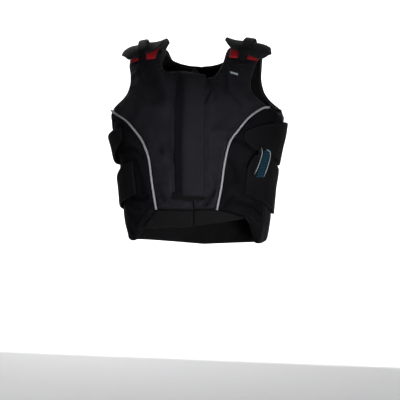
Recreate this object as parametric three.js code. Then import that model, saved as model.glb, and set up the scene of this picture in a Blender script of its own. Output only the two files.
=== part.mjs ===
// A padded riding vest, as it keeps its form on a wearer: two front panels closed by a zip under a
// flap, two side panels joined to them at piped seams, a back panel, adjusting tabs round both
// sides, and a padded cap with a red band and a strap on each shoulder.
// Millimetres. +X is the wearer's left, -Y the front, +Z up. The origin lies midway between the
// shoulders, level with the inside of their tops, where the wearer carries the vest.
import * as THREE from "three";
import { mergeGeometries, mergeVertices } from "three/addons/utils/BufferGeometryUtils.js";

// The outside of the padding
const halfChest = 184; // half the width, level with the armholes' lowest point
const frontDepth = 138; // centre line of the body to the bust
const backDepth = 116; // centre line of the body to the shoulder blades
const frontLength = 343; // origin down to the front hem
const armholeDrop = 111; // origin down to where the shoulders start to round
const ridgeRise = 23; // shoulder line above the origin, carried on to the neck's middle
const ridgeSlope = 0.04; // fall of the shoulder line for each mm outwards
const shoulderDroop = 58; // its further fall where it would reach the chest's full half width
const droopPower = 6;
const squareness = 2.2; // 2 is a true ellipse, and more is boxier
const shoulderPower = 1.25; // how far the chest leans back towards the shoulder line

// Padding and cloth
const padThickness = 20;
const roundOver = 12; // width of the rounding along a padded edge
const outerRound = 5; // how far that rounding falls on the outside
const innerRound = 3; // and on the inside
const clearance = 0.5; // between pieces that touch
const seamGap = 0.8; // between two padded panels sewn side by side
const sideGap = 3; // between the side panel and the back panel, under the tabs

// Front closure
const openingOffset = 12; // the opening lies this far to the wearer's left
const openingGap = 2;
const zipWidth = 24;
const zipThickness = 1.8;
const zipTipRise = 0.05; // the zip's pointed end above the neckline, in stations
const flapWidth = 57;
const flapOffset = 6.5; // centre of the flap, to the wearer's left
const flapThickness = 4;
const flapFold = 2.2; // depth of the fold along the flap

// Neck and shoulders
const neckHalfWidth = 66;
const backNeckHalfWidth = 64;
const capInset = 61; // centre line to the cap's inner end
const capReach = halfChest - 34; // centre line to the cap's outer end
const capThickness = 9;
const bandInset = 70;
const bandWidth = 60;
const bandThickness = 2;
const strapWidth = 17;
const strapThickness = 3.5;
const strapLoop = 4; // how far the strap stands clear over the cap's top
const strapFoot = 99; // centre line to the strap's middle at its lower end
const strapTop = 110; // centre line to the strap's middle over the cap

// Piping, hem, tabs and labels
const pipingRadius = 2.2;
const pipingSink = 1.2; // the piping's centre below the padding's surface
const hemBandThickness = 12;
const hemBandSink = 2;
const tabThickness = 4.5;
const tabStand = 2.5; // how far a tab stands out from the padding half way along it
const tabFlare = 2.5; // how much further an upper tab's top edge stands out
const sideLabelWidth = 30;
const sideLabelHeight = 56;
const chestLabelWidth = 15;
const chestLabelHeight = 4.5;
const labelThickness = 0.8;

// Stations measure height: -1 is the front hem, 0 the armholes' lowest point, 1 the shoulder
// line, and from 1 to 2 the way down the far side of the shoulder.
// Width, front and back are shares of halfChest, frontDepth and backDepth.
const bodySections = [
  { station: -1.29, width: 0.765, front: 0.855, back: 0.93 },
  { station: -1.0, width: 0.838, front: 0.9, back: 0.905 },
  { station: -0.733, width: 0.863, front: 0.942, back: 0.897 },
  { station: -0.474, width: 0.91, front: 0.985, back: 0.922 },
  { station: -0.215, width: 0.972, front: 1.0, back: 0.974 },
  { station: 0.0, width: 1.0, front: 0.965, back: 1.0 },
];

// Front panels, a row for each section from the waist to the shoulder. in is a share of the way
// from the opening to the neck's side, seam an angle from the centre front, and the other columns
// are stations.
const frontSections = {
  left: [
    { in: 0, inUp: -0.86, seam: 22, seamUp: -0.86 },
    { in: 0, inUp: -0.655, seam: 25, seamUp: -0.655 },
    { in: 0, inUp: -0.45, seam: 26.4, seamUp: -0.45 },
    { in: 0, inUp: -0.29, seam: 28.7, seamUp: -0.29 },
    { in: 0, inUp: -0.15, seam: 34, seamUp: -0.19 },
    { in: 0, inUp: 0, seam: 41.3, seamUp: -0.083 },
    { in: 0, inUp: 0.17, seam: 51, seamUp: -0.01 },
    { in: 0, inUp: 0.31, seam: 60.5, seamUp: 0.028 },
    { in: 0.04, inUp: 0.4, seam: 53, seamUp: 0.108 },
    { in: 0.35, inUp: 0.364, seam: 46.8, seamUp: 0.177 },
    { in: 0.6, inUp: 0.374, seam: 42.8, seamUp: 0.245 },
    { in: 0.76, inUp: 0.412, seam: 41.8, seamUp: 0.335 },
    { in: 0.9, inUp: 0.495, seam: 43, seamUp: 0.445 },
    { in: 0.98, inUp: 0.63, seam: 45, seamUp: 0.6 },
    { in: 1, inUp: 0.96, seam: 49, seamUp: 0.96 },
  ],
  right: [
    { in: 0, inUp: -0.865, seam: 24, seamUp: -0.865 },
    { in: 0, inUp: -0.655, seam: 26.2, seamUp: -0.655 },
    { in: 0, inUp: -0.45, seam: 26.9, seamUp: -0.45 },
    { in: 0, inUp: -0.3, seam: 30, seamUp: -0.305 },
    { in: 0, inUp: -0.16, seam: 36.5, seamUp: -0.195 },
    { in: 0, inUp: 0, seam: 46, seamUp: -0.1 },
    { in: 0, inUp: 0.17, seam: 58, seamUp: -0.046 },
    { in: 0, inUp: 0.32, seam: 70.5, seamUp: -0.004 },
    { in: 0.05, inUp: 0.398, seam: 59.5, seamUp: 0.085 },
    { in: 0.35, inUp: 0.415, seam: 50.8, seamUp: 0.155 },
    { in: 0.58, inUp: 0.387, seam: 45.6, seamUp: 0.235 },
    { in: 0.77, inUp: 0.41, seam: 43.6, seamUp: 0.33 },
    { in: 0.91, inUp: 0.495, seam: 44.8, seamUp: 0.455 },
    { in: 0.98, inUp: 0.63, seam: 48.4, seamUp: 0.61 },
    { in: 1, inUp: 0.96, seam: 51, seamUp: 0.96 },
  ],
};
const cornerRow = 7; // the row of frontSections where the seam meets the armhole

// Rear edge of the side panels, from the hem to the armhole: its angle and station.
const sideSections = {
  left: [
    { rear: 72, rearUp: -1.19 },
    { rear: 72, rearUp: -0.86 },
    { rear: 73, rearUp: -0.6 },
    { rear: 75, rearUp: -0.4 },
    { rear: 78, rearUp: -0.21 },
    { rear: 82, rearUp: -0.075 },
  ],
  right: [
    { rear: 68, rearUp: -1.18 },
    { rear: 70, rearUp: -0.86 },
    { rear: 74, rearUp: -0.6 },
    { rear: 79, rearUp: -0.4 },
    { rear: 84, rearUp: -0.2 },
    { rear: 88, rearUp: -0.06 },
  ],
};

// Lower edge of the side panels in even steps from the seam to the rear edge: how much of the
// fall between the two is done.
const sideFoot = {
  left: [{ fall: 0 }, { fall: 0.08 }, { fall: 0.18 }, { fall: 0.3 }, { fall: 0.68 }, { fall: 1 }],
  right: [{ fall: 0 }, { fall: 0.3 }, { fall: 0.57 }, { fall: 0.77 }, { fall: 0.93 }, { fall: 1 }],
};

// Hem bands under the panels' lower edges: lower edge at the opening and at the band's far end,
// and the angle of that end.
const hemSections = {
  left: { end: 46, bottomIn: -1.005, bottomOut: -0.948 },
  right: { end: 38, bottomIn: -1.015, bottomOut: -1.04 },
};

// Back panel halves, from the hem to the shoulder: in is a share of the back neck's half width.
// Up to the armhole the side edge is the side panel's rear edge, above it an angle and a station.
const backSections = [
  { in: 0, inUp: -1.26 },
  { in: 0, inUp: -1.02 },
  { in: 0, inUp: -0.76 },
  { in: 0, inUp: -0.5 },
  { in: 0, inUp: -0.26 },
  { in: 0, inUp: -0.04 },
  { in: 0, inUp: 0.2, side: 98, sideUp: -0.035 },
  { in: 0, inUp: 0.4, side: 113, sideUp: 0.075 },
  { in: 0, inUp: 0.57, side: 126, sideUp: 0.19 },
  { in: 0.35, inUp: 0.59, side: 132, sideUp: 0.3 },
  { in: 0.7, inUp: 0.63, side: 134, sideUp: 0.44 },
  { in: 0.95, inUp: 0.71, side: 133, sideUp: 0.6 },
  { in: 1, inUp: 0.96, side: 130, sideUp: 0.96 },
];

// Adjusting tabs, from their front end round to the back: upper and lower edges as stations.
const upperTabs = {
  left: [
    { angle: 38, top: -0.2, bottom: -0.27 },
    { angle: 48, top: -0.155, bottom: -0.352 },
    { angle: 60, top: -0.13, bottom: -0.385 },
    { angle: 75, top: -0.115, bottom: -0.43 },
    { angle: 88, top: -0.12, bottom: -0.495 },
    { angle: 102, top: -0.14, bottom: -0.5 },
    { angle: 118, top: -0.15, bottom: -0.48 },
  ],
  right: [
    { angle: 50, top: -0.16, bottom: -0.27 },
    { angle: 62, top: -0.19, bottom: -0.36 },
    { angle: 76, top: -0.23, bottom: -0.44 },
    { angle: 89, top: -0.25, bottom: -0.49 },
    { angle: 102, top: -0.22, bottom: -0.5 },
    { angle: 118, top: -0.18, bottom: -0.48 },
  ],
};
const lowerTabs = {
  left: [
    { angle: 44, top: -0.49, bottom: -0.72 },
    { angle: 50, top: -0.39, bottom: -0.745 },
    { angle: 59, top: -0.41, bottom: -0.79 },
    { angle: 73, top: -0.45, bottom: -0.865 },
    { angle: 88, top: -0.52, bottom: -0.925 },
    { angle: 102, top: -0.53, bottom: -0.94 },
    { angle: 118, top: -0.55, bottom: -0.93 },
  ],
  right: [
    { angle: 42, top: -0.45, bottom: -0.735 },
    { angle: 51, top: -0.475, bottom: -0.77 },
    { angle: 63, top: -0.54, bottom: -0.81 },
    { angle: 76, top: -0.61, bottom: -0.86 },
    { angle: 89, top: -0.655, bottom: -0.9 },
    { angle: 102, top: -0.65, bottom: -0.93 },
    { angle: 118, top: -0.62, bottom: -0.93 },
  ],
};

// The shoulder cap in even steps from its inner to its outer end: its front and back edges.
const capSections = [
  { front: 0.9, back: 1.14 },
  { front: 0.8, back: 1.27 },
  { front: 0.74, back: 1.33 },
  { front: 0.69, back: 1.35 },
  { front: 0.69, back: 1.33 },
  { front: 0.8, back: 1.2 },
];

// Where the flap, the band, the patch, the strap and the labels lie
const flapTop = 0.38;
const flapBottom = -0.74;
const zipBottom = -0.72;
const bandStart = 0.597;
const bandEnd = 0.86;
const strapStart = 0.5;
const strapEnd = 1.3;
const sideLabelAngle = 58.5;
const sideLabelStation = -0.47;
const sideLabelLean = 4; // degrees that its upper end lies further back
const chestLabelX = 88;
const chestLabelStation = 0.4;

// Grid steps
const panelColumns = 6;
const rowsPerSection = 2;
const normalStep = 0.4; // degrees
const stationStep = 0.004;

const right = -1;
const left = 1;
const mix = THREE.MathUtils.lerp;
const radians = THREE.MathUtils.degToRad;
const degrees = THREE.MathUtils.radToDeg;

// A smooth curve through the values ys at xs that never swings past them.
function smooth(xs, ys, x) {
  const last = xs.length - 1;
  const at = THREE.MathUtils.clamp(x, xs[0], xs[last]);
  let i = 0;
  while (i < last - 1 && at > xs[i + 1]) i += 1;
  const slope = (k) => (ys[k + 1] - ys[k]) / (xs[k + 1] - xs[k]);
  const tangent = (k) => {
    if (k === 0) return slope(0);
    if (k === last) return slope(last - 1);
    const before = slope(k - 1);
    const after = slope(k);
    return before * after <= 0 ? 0 : (2 * before * after) / (before + after);
  };
  const span = xs[i + 1] - xs[i];
  const u = (at - xs[i]) / span;
  return (
    ys[i] * (1 + 2 * u) * (1 - u) ** 2 +
    ys[i + 1] * u * u * (3 - 2 * u) +
    span * u * (1 - u) * (tangent(i) * (1 - u) - tangent(i + 1) * u)
  );
}

// One column of a table at a share t of the way through its rows.
function columnAt(rows, column, t) {
  const numbers = rows.map((row, i) => i);
  return smooth(numbers, rows.map((row) => row[column]), t * (rows.length - 1));
}

function sectionAt(station, column) {
  const stations = bodySections.map((row) => row.station);
  return smooth(stations, bodySections.map((row) => row[column]), Math.min(station, 0));
}

const halfWidthAt = (station) => halfChest * sectionAt(station, "width");

// The angle from the centre front at which the body is x wide at a station.
const angleAt = (x, station) => degrees(Math.asin(THREE.MathUtils.clamp(x / halfWidthAt(station), -1, 1)));

// A point of the padding's outer surface.
function skinPoint(angle, station) {
  const sine = Math.sin(radians(angle));
  const x = halfWidthAt(station) * sine;
  const share = (1 - Math.abs(sine) ** squareness) ** (1 / squareness);
  const turn = radians(90 * THREE.MathUtils.clamp(station, 0, 2));
  const atFront = Math.cos(radians(angle)) > 0 !== station > 1;
  const depth = atFront
    ? -frontDepth * sectionAt(station, "front")
    : backDepth * sectionAt(station, "back");
  const bodyHeight = frontLength - armholeDrop;
  const droop = shoulderDroop * (Math.abs(x) / halfChest) ** droopPower;
  const shoulderHeight = ridgeRise - ridgeSlope * Math.abs(x) - droop + armholeDrop;
  const rise = Math.abs(Math.sin(turn)) ** shoulderPower;
  const lean = Math.abs(Math.cos(turn)) ** shoulderPower;
  const z = Math.min(station, 0) * bodyHeight - armholeDrop + shoulderHeight * rise;
  return new THREE.Vector3(x, depth * share * lean, z);
}

// The same point lifted off the surface, or sunk into the padding where lift is negative.
function liftedPoint({ angle, station }, lift) {
  const point = skinPoint(angle, station);
  const along = skinPoint(angle + normalStep, station).sub(skinPoint(angle - normalStep, station));
  const up = skinPoint(angle, station + stationStep).sub(skinPoint(angle, station - stationStep));
  return point.addScaledVector(along.cross(up).normalize(), lift);
}

function pathLength(points) {
  return points.slice(1).reduce((sum, p, i) => sum + p.distanceTo(points[i]), 0);
}

// Shares of a length at which a grid has lines: close together at both ends for the rounding.
function endLines(length, round) {
  const near = Math.min(round / length, 0.3);
  return round > 0 ? [0, near / 3, near] : [0];
}

function columnLines(length, round, steps) {
  const ends = endLines(length, round);
  const near = ends[ends.length - 1];
  const inner = Array.from({ length: steps - 1 }, (_, i) => mix(near, 1 - near, (i + 1) / steps));
  return [...ends, ...inner, ...ends.map((share) => 1 - share).reverse()];
}

// Rows keep to even steps, so that two panels meet row for row along a seam.
function rowLines(length, round, steps) {
  const ends = endLines(length, round);
  const near = ends[ends.length - 1] + 0.4 / steps;
  const even = Array.from({ length: steps - 1 }, (_, i) => (i + 1) / steps);
  const inner = even.filter((share) => share > near && share < 1 - near);
  return [...ends, ...inner, ...ends.map((share) => 1 - share).reverse()];
}

// How much of a rounding's depth is lost at a share of its width in from the edge.
const fall = (share) => 1 - Math.sqrt(1 - (1 - Math.min(share, 1)) ** 2);

function distanceToLine(point, line) {
  const nearest = new THREE.Vector3();
  const distances = line.slice(1).map((end, i) => {
    new THREE.Line3(line[i], end).closestPointToPoint(point, true, nearest);
    return nearest.distanceTo(point);
  });
  return Math.min(...distances);
}

// A grid of point pairs on two faces laid over the body. place turns shares across and up into a
// place on the body, over and under give each face's lift there, and round is the rounding.
// Up to joinTo, a share of its height, the first column isn't rounded.
function layerGrid({ place, over, under, across, up, round, joinTo = 0 }) {
  const face = (s, t) => liftedPoint(place(s, t), 0);
  const shares = Array.from({ length: 61 }, (_, i) => i / 60);
  const border = [
    shares.map((t) => face(0, mix(joinTo, 1, t))),
    shares.map((t) => face(1, t)),
    shares.map((s) => face(s, 0)),
    shares.map((s) => face(s, 1)),
  ];
  const fromEdge = (point) => Math.min(...border.map((line) => distanceToLine(point, line)));
  const height = pathLength(shares.map((t) => face(joinTo > 0 ? 0 : 0.5, t)));
  return rowLines(height, round.width, up).map((t) => {
    const width = pathLength(shares.map((s) => face(s, t)));
    return columnLines(width, round.width, across).map((s) => {
      const edge = round.width > 0 ? fromEdge(face(s, t)) / round.width : 1;
      const outside = over(s, t) - round.outer * fall(edge);
      const inside = under(s, t) + round.inner * fall(edge);
      return [liftedPoint(place(s, t), outside), liftedPoint(place(s, t), inside)];
    });
  });
}

const layer = (shape) => closedGrid(layerGrid(shape), 0);

// The solid between the two faces of a grid of point pairs, with walls round its border, save
// beside the first column for so many openRows.
function closedGrid(rows, openRows) {
  const columns = rows[0].length;
  const positions = rows.flatMap((row) => row.flatMap(([outer, inner]) => [...outer, ...inner]));
  const at = (i, j, side) => 2 * (i * columns + j) + side;
  const index = [];
  const quad = (a, b, c, d) => index.push(a, b, c, a, c, d);
  for (let i = 0; i + 1 < rows.length; i += 1) {
    for (let j = 0; j + 1 < columns; j += 1) {
      quad(at(i, j, 0), at(i, j + 1, 0), at(i + 1, j + 1, 0), at(i + 1, j, 0));
      quad(at(i, j, 1), at(i + 1, j, 1), at(i + 1, j + 1, 1), at(i, j + 1, 1));
    }
  }
  const end = rows.length - 1;
  for (let j = 0; j + 1 < columns; j += 1) {
    quad(at(0, j, 1), at(0, j + 1, 1), at(0, j + 1, 0), at(0, j, 0));
    quad(at(end, j, 0), at(end, j + 1, 0), at(end, j + 1, 1), at(end, j, 1));
  }
  for (let i = 0; i < end; i += 1) {
    if (i >= openRows) quad(at(i, 0, 0), at(i + 1, 0, 0), at(i + 1, 0, 1), at(i, 0, 1));
    quad(at(i, columns - 1, 1), at(i + 1, columns - 1, 1), at(i + 1, columns - 1, 0), at(i, columns - 1, 0));
  }
  const geometry = new THREE.BufferGeometry();
  geometry.setAttribute("position", new THREE.Float32BufferAttribute(positions, 3));
  geometry.setIndex(index);
  return facingOut(geometry);
}

// Turns every face round where the solid is inside out.
function facingOut(geometry) {
  const position = geometry.getAttribute("position");
  const order = geometry.index.array;
  const corner = (k) => new THREE.Vector3().fromBufferAttribute(position, order[k]);
  let volume = 0;
  for (let k = 0; k < order.length; k += 3) {
    volume += corner(k).dot(corner(k + 1).cross(corner(k + 2)));
  }
  if (volume < 0) {
    for (let k = 0; k < order.length; k += 3) {
      [order[k + 1], order[k + 2]] = [order[k + 2], order[k + 1]];
    }
  }
  geometry.computeVertexNormals();
  return geometry;
}

const cloth = (color, roughness) => new THREE.MeshStandardMaterial({ color, roughness, metalness: 0 });
const panelCloth = cloth(0x15161a, 0.75);
const trimCloth = cloth(0x0e0f11, 0.85);
const redCloth = cloth(0x8c1014, 0.6);
const pipingCloth = cloth(0xb9babd, 0.4);
const labelCloth = cloth(0x1d5a78, 0.7);

const vest = new THREE.Group();

function addPiece(name, geometry, material) {
  const mesh = new THREE.Mesh(geometry, material);
  mesh.name = name;
  vest.add(mesh);
}

const padRound = { width: roundOver, outer: outerRound, inner: innerRound };
const clothRound = { width: 0, outer: 0, inner: 0 };
const level = (value) => () => value;
const gapAngle = (gap, station) => degrees(gap / halfWidthAt(station));

const lastFront = frontSections.left.length - 1;
const sideName = (side) => (side === left ? "left" : "right");

// The part of a column of frontSections beyond the corner row, at a share t up the whole panel.
function armholeAt(side, column, t) {
  const rows = frontSections[sideName(side)].slice(cornerRow);
  return columnAt(rows, column, (t * lastFront - cornerRow) / (lastFront - cornerRow));
}

// Millimetres along the body for one degree round it, and for one station up it.
function stepsAt({ angle, station }) {
  const point = skinPoint(angle, station);
  return {
    degree: skinPoint(angle + 1, station).distanceTo(point),
    station: skinPoint(angle, station - 0.01).distanceTo(point) * 100,
  };
}

// A place at a share t up the seam between front and side panel, moved by so many mm to its rear.
function seamPlace(side, t, aside = 0) {
  const rows = frontSections[sideName(side)].slice(0, cornerRow + 1);
  const at = (u) => ({
    angle: columnAt(rows, "seam", THREE.MathUtils.clamp(u, 0, 1)),
    station: columnAt(rows, "seamUp", THREE.MathUtils.clamp(u, 0, 1)),
  });
  const here = at(t);
  const steps = stepsAt(here);
  const run = (at(t + 0.02).angle - at(t - 0.02).angle) * steps.degree;
  const rise = (at(t + 0.02).station - at(t - 0.02).station) * steps.station;
  const share = aside / Math.hypot(run, rise);
  return {
    angle: here.angle + (share * rise) / steps.degree,
    station: here.station - (share * run) / steps.station,
  };
}

const openingEdge = (side) => side * openingOffset + openingGap / 2;

function frontPanel(side) {
  const rows = frontSections[sideName(side)];
  const place = (s, t) => {
    const innerUp = columnAt(rows, "inUp", t);
    const innerX = mix(openingEdge(side), neckHalfWidth, columnAt(rows, "in", t));
    const outer = t * lastFront <= cornerRow
      ? seamPlace(side, (t * lastFront) / cornerRow, -seamGap / 2)
      : { angle: armholeAt(side, "seam", t), station: armholeAt(side, "seamUp", t) };
    const angle = mix(angleAt(innerX, innerUp), outer.angle, s);
    return { angle: side * angle, station: mix(innerUp, outer.station, s) };
  };
  const up = rowsPerSection * lastFront;
  return layer({ place, over: level(0), under: level(-padThickness), across: panelColumns, up, round: padRound });
}

// Station of the side panel's lower edge at a share s from the seam to the rear edge.
function footStation(side, s) {
  const seamFoot = seamPlace(side, 0).station;
  return mix(seamFoot, sideSections[sideName(side)][0].rearUp, columnAt(sideFoot[sideName(side)], "fall", s));
}

function sidePanel(side) {
  const rows = sideSections[sideName(side)];
  const footRise = 0.4; // share of the height over which the lower edge's shape fades out
  const place = (s, t) => {
    const seam = seamPlace(side, t, seamGap / 2);
    const even = mix(seam.station, columnAt(rows, "rearUp", t), s);
    const evenFoot = mix(seamPlace(side, 0).station, rows[0].rearUp, s);
    const fade = Math.max(0, 1 - t / footRise) ** 2;
    const station = even + fade * (footStation(side, s) - evenFoot);
    return { angle: side * mix(seam.angle, columnAt(rows, "rear", t), s), station };
  };
  const up = rowsPerSection * cornerRow;
  return layer({ place, over: level(0), under: level(-padThickness), across: panelColumns, up, round: padRound });
}

function backHalf(side) {
  const sideRows = sideSections[sideName(side)];
  const rows = backSections.map((row, i) => ({
    ...row,
    side: i < sideRows.length ? sideRows[i].rear + gapAngle(sideGap, sideRows[i].rearUp) : row.side,
    sideUp: i < sideRows.length ? sideRows[i].rearUp : row.sideUp,
  }));
  const place = (s, t) => {
    const innerUp = columnAt(rows, "inUp", t);
    const innerX = backNeckHalfWidth * columnAt(rows, "in", t);
    const angle = mix(180 - angleAt(innerX, innerUp), columnAt(rows, "side", t), s);
    return { angle: side * angle, station: mix(innerUp, columnAt(rows, "sideUp", t), s) };
  };
  const up = rowsPerSection * (backSections.length - 1);
  const across = panelColumns + 1;
  const joined = backSections.filter((row) => row.in === 0).length - 1;
  const joinTo = joined / (rows.length - 1);
  return layerGrid({ place, over: level(0), under: level(-padThickness), across, up, round: padRound, joinTo });
}

// The two halves are one piece up to the neck, where their first columns part.
function backPanel() {
  const grids = [backHalf(left), backHalf(right)];
  const joinedRows = grids[0].findIndex((row) => Math.abs(row[0][0].x) > 1e-6) - 1;
  for (let i = 0; i <= joinedRows; i += 1) grids[1][i][0] = grids[0][i][0];
  const halves = mergeGeometries(grids.map((rows) => closedGrid(rows, joinedRows)));
  halves.deleteAttribute("normal");
  return facingOut(mergeVertices(halves, 1e-3));
}

function piping(side) {
  const steps = 26;
  const reach = 0.975; // the piping stops short of the armhole's binding
  const points = Array.from({ length: steps + 1 }, (_, i) => {
    const at = seamPlace(side, (reach * i) / steps);
    return liftedPoint({ angle: side * at.angle, station: at.station }, -pipingSink);
  });
  const ring = new THREE.Shape().absarc(0, 0, pipingRadius, 0, 2 * Math.PI);
  const path = new THREE.CatmullRomCurve3(points);
  const tube = new THREE.ExtrudeGeometry(ring, { steps, curveSegments: 4, bevelEnabled: false, extrudePath: path });
  tube.deleteAttribute("normal");
  tube.deleteAttribute("uv");
  return facingOut(mergeVertices(tube, 1e-3));
}

// A strip whose middle lies x mm from the centre line, with its own width.
function stripPlace(side, middle, width, start, end) {
  return (s, t) => {
    const station = mix(start, end, t);
    return { angle: side * angleAt(middle(t) + (s - 0.5) * width(t), station), station };
  };
}

const zipLift = clearance;
const flapLift = zipLift + zipThickness + 2 * clearance;

function zip() {
  const narrow = 0.93; // share of its length below which the zip keeps its full width
  const tip = 2; // width of its pointed end
  const pointed = (t) => Math.max(0, (t - narrow) / (1 - narrow));
  const width = (t) => mix(zipWidth, tip, pointed(t));
  const middle = (t) => openingOffset - (pointed(t) * tip) / 2;
  const neckline = frontSections.left[cornerRow + 1].inUp;
  const place = stripPlace(left, middle, width, zipBottom, neckline + zipTipRise);
  const over = level(zipLift + zipThickness);
  return layer({ place, over, under: level(zipLift), across: 2, up: 12, round: clothRound });
}

function flap() {
  const place = stripPlace(left, level(flapOffset), level(flapWidth), flapBottom, flapTop);
  const foldAt = 0.17; // share of its width from the wearer's right
  const foldReach = 0.13;
  const fold = (s) => flapFold * Math.max(0, 1 - ((s - foldAt) / foldReach) ** 2);
  const over = (s) => flapLift + flapThickness - fold(s);
  const round = { width: 4, outer: 1.5, inner: 0 };
  return layer({ place, over, under: level(flapLift), across: 6, up: 7, round });
}

function hemBand(side) {
  const { end, bottomIn, bottomOut } = hemSections[sideName(side)];
  const seamFoot = seamPlace(side, 0);
  const rear = sideSections[sideName(side)][0].rear;
  const seamClear = 0.0016; // stations between the band and the panels over it
  const start = angleAt(openingEdge(side), bottomIn);
  const place = (s, t) => {
    const angle = mix(start, end, s);
    const across = THREE.MathUtils.clamp((angle - seamFoot.angle) / (rear - seamFoot.angle), 0, 1);
    const top = footStation(side, across) - seamClear;
    return { angle: side * angle, station: mix(mix(bottomIn, bottomOut, s), top, t) };
  };
  const round = { width: 5, outer: 2, inner: 1.5 };
  const over = level(-hemBandSink);
  const under = level(-hemBandSink - hemBandThickness);
  return layer({ place, over, under, across: 8, up: 1, round });
}

function tab(side, rows, flare) {
  const place = (s, t) => {
    const station = mix(columnAt(rows, "bottom", s), columnAt(rows, "top", s), t);
    return { angle: side * columnAt(rows, "angle", s), station };
  };
  const stand = (s, t) => (tabStand + flare * t * t) * Math.sin(Math.PI * s);
  const under = (s, t) => clearance + stand(s, t);
  const over = (s, t) => under(s, t) + tabThickness;
  return layer({ place, over, under, across: 13, up: 3, round: clothRound });
}

const bandLift = clearance;
const capLift = bandLift + bandThickness + clearance;

function cap(side) {
  const place = (s, t) => {
    const station = mix(columnAt(capSections, "front", s), columnAt(capSections, "back", s), t);
    return { angle: side * angleAt(mix(capInset, capReach, s), station), station };
  };
  const round = { width: 8, outer: 4, inner: 0 };
  const over = level(capLift + capThickness);
  return layer({ place, over, under: level(capLift), across: 6, up: 5, round });
}

function band(side) {
  const middle = level(bandInset + bandWidth / 2);
  const place = stripPlace(side, middle, level(bandWidth), bandStart, bandEnd);
  const over = level(bandLift + bandThickness);
  return layer({ place, over, under: level(bandLift), across: 5, up: 4, round: clothRound });
}

// The strap lies on the front panel, steps over the band and climbs over the cap.
function strap(side) {
  const onPanel = clearance;
  const onCap = capLift + capThickness + clearance;
  const capFront = capSections[2].front;
  const ride = [
    { station: strapStart, lift: onPanel },
    { station: bandStart - 0.03, lift: onPanel + 0.3 },
    { station: bandStart, lift: capLift + 0.5 },
    { station: capFront - 0.085, lift: capLift + 0.8 },
    { station: capFront - 0.052, lift: onCap - 3.5 },
    { station: capFront - 0.01, lift: onCap + 0.8 },
    { station: 0.93, lift: onCap + strapLoop },
    { station: 1.1, lift: onCap + strapLoop },
    { station: strapEnd, lift: onCap },
  ];
  const stations = ride.map((row) => row.station);
  const lifts = ride.map((row) => row.lift);
  const middle = (t) => mix(strapFoot, strapTop, Math.min(1.6 * t, 1));
  const place = stripPlace(side, middle, level(strapWidth), strapStart, strapEnd);
  const under = (s, t) => smooth(stations, lifts, mix(strapStart, strapEnd, t));
  const over = (s, t) => under(s, t) + strapThickness;
  return layer({ place, over, under, across: 1, up: 30, round: clothRound });
}

// The tab's lift at a place is what the label lies on.
function sideLabel() {
  const steps = stepsAt({ angle: sideLabelAngle, station: sideLabelStation });
  const place = (s, t) => ({
    angle: sideLabelAngle + ((s - 0.5) * sideLabelWidth) / steps.degree + (t - 0.5) * sideLabelLean,
    station: sideLabelStation + ((t - 0.5) * sideLabelHeight) / steps.station,
  });
  const rows = lowerTabs.left;
  const angles = rows.map((row) => row.angle);
  const shares = rows.map((row, i) => i / (rows.length - 1));
  const under = (s, t) => {
    const along = smooth(angles, shares, place(s, t).angle);
    return 3 * clearance + tabThickness + tabStand * Math.sin(Math.PI * along);
  };
  const over = (s, t) => under(s, t) + labelThickness;
  return layer({ place, over, under, across: 4, up: 5, round: clothRound });
}

function chestLabel() {
  const tilt = 0.02; // stations that its outer end lies lower
  const steps = stepsAt({ angle: angleAt(chestLabelX, chestLabelStation), station: chestLabelStation });
  const place = (s, t) => {
    const rise = ((t - 0.5) * chestLabelHeight) / steps.station;
    const station = chestLabelStation + rise - (s - 0.5) * tilt;
    return { angle: angleAt(chestLabelX + (s - 0.5) * chestLabelWidth, station), station };
  };
  const over = level(clearance + labelThickness);
  return layer({ place, over, under: level(clearance), across: 3, up: 1, round: clothRound });
}

for (const [name, side] of [["left", left], ["right", right]]) {
  addPiece(`front_panel_${name}`, frontPanel(side), panelCloth);
  addPiece(`side_panel_${name}`, sidePanel(side), panelCloth);
  addPiece(`piping_${name}`, piping(side), pipingCloth);
  addPiece(`hem_band_${name}`, hemBand(side), trimCloth);
  addPiece(`side_tab_upper_${name}`, tab(side, upperTabs[name], tabFlare), trimCloth);
  addPiece(`side_tab_lower_${name}`, tab(side, lowerTabs[name], 0), trimCloth);
  addPiece(`shoulder_cap_${name}`, cap(side), panelCloth);
  addPiece(`shoulder_band_${name}`, band(side), redCloth);
  addPiece(`shoulder_strap_${name}`, strap(side), trimCloth);
}
addPiece("back_panel", backPanel(), panelCloth);
addPiece("front_zip", zip(), trimCloth);
addPiece("front_flap", flap(), panelCloth);
addPiece("side_label", sideLabel(), labelCloth);
addPiece("chest_label", chestLabel(), pipingCloth);

export default vest;
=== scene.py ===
import math

import bmesh
import bpy
import numpy as np
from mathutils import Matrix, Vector


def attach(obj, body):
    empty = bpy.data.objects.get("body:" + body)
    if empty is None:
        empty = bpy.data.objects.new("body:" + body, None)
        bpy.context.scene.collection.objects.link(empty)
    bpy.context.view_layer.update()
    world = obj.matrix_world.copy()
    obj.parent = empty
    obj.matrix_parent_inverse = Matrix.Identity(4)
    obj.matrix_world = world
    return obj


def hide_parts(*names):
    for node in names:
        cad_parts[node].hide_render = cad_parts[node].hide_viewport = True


# A padded riding vest, as it keeps its form on a wearer. Metres, in the frame of the CAD model.
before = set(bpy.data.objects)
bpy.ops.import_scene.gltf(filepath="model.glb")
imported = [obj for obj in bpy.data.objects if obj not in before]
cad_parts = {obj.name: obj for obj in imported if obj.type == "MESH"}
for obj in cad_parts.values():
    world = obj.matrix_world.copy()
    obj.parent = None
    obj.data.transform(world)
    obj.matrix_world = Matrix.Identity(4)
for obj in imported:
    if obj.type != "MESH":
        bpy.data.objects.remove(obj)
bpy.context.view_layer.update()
scene = bpy.context.scene
bothSides = {"left": 1, "right": -1}  # the wearer's
print("stage: frame loaded")

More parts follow.
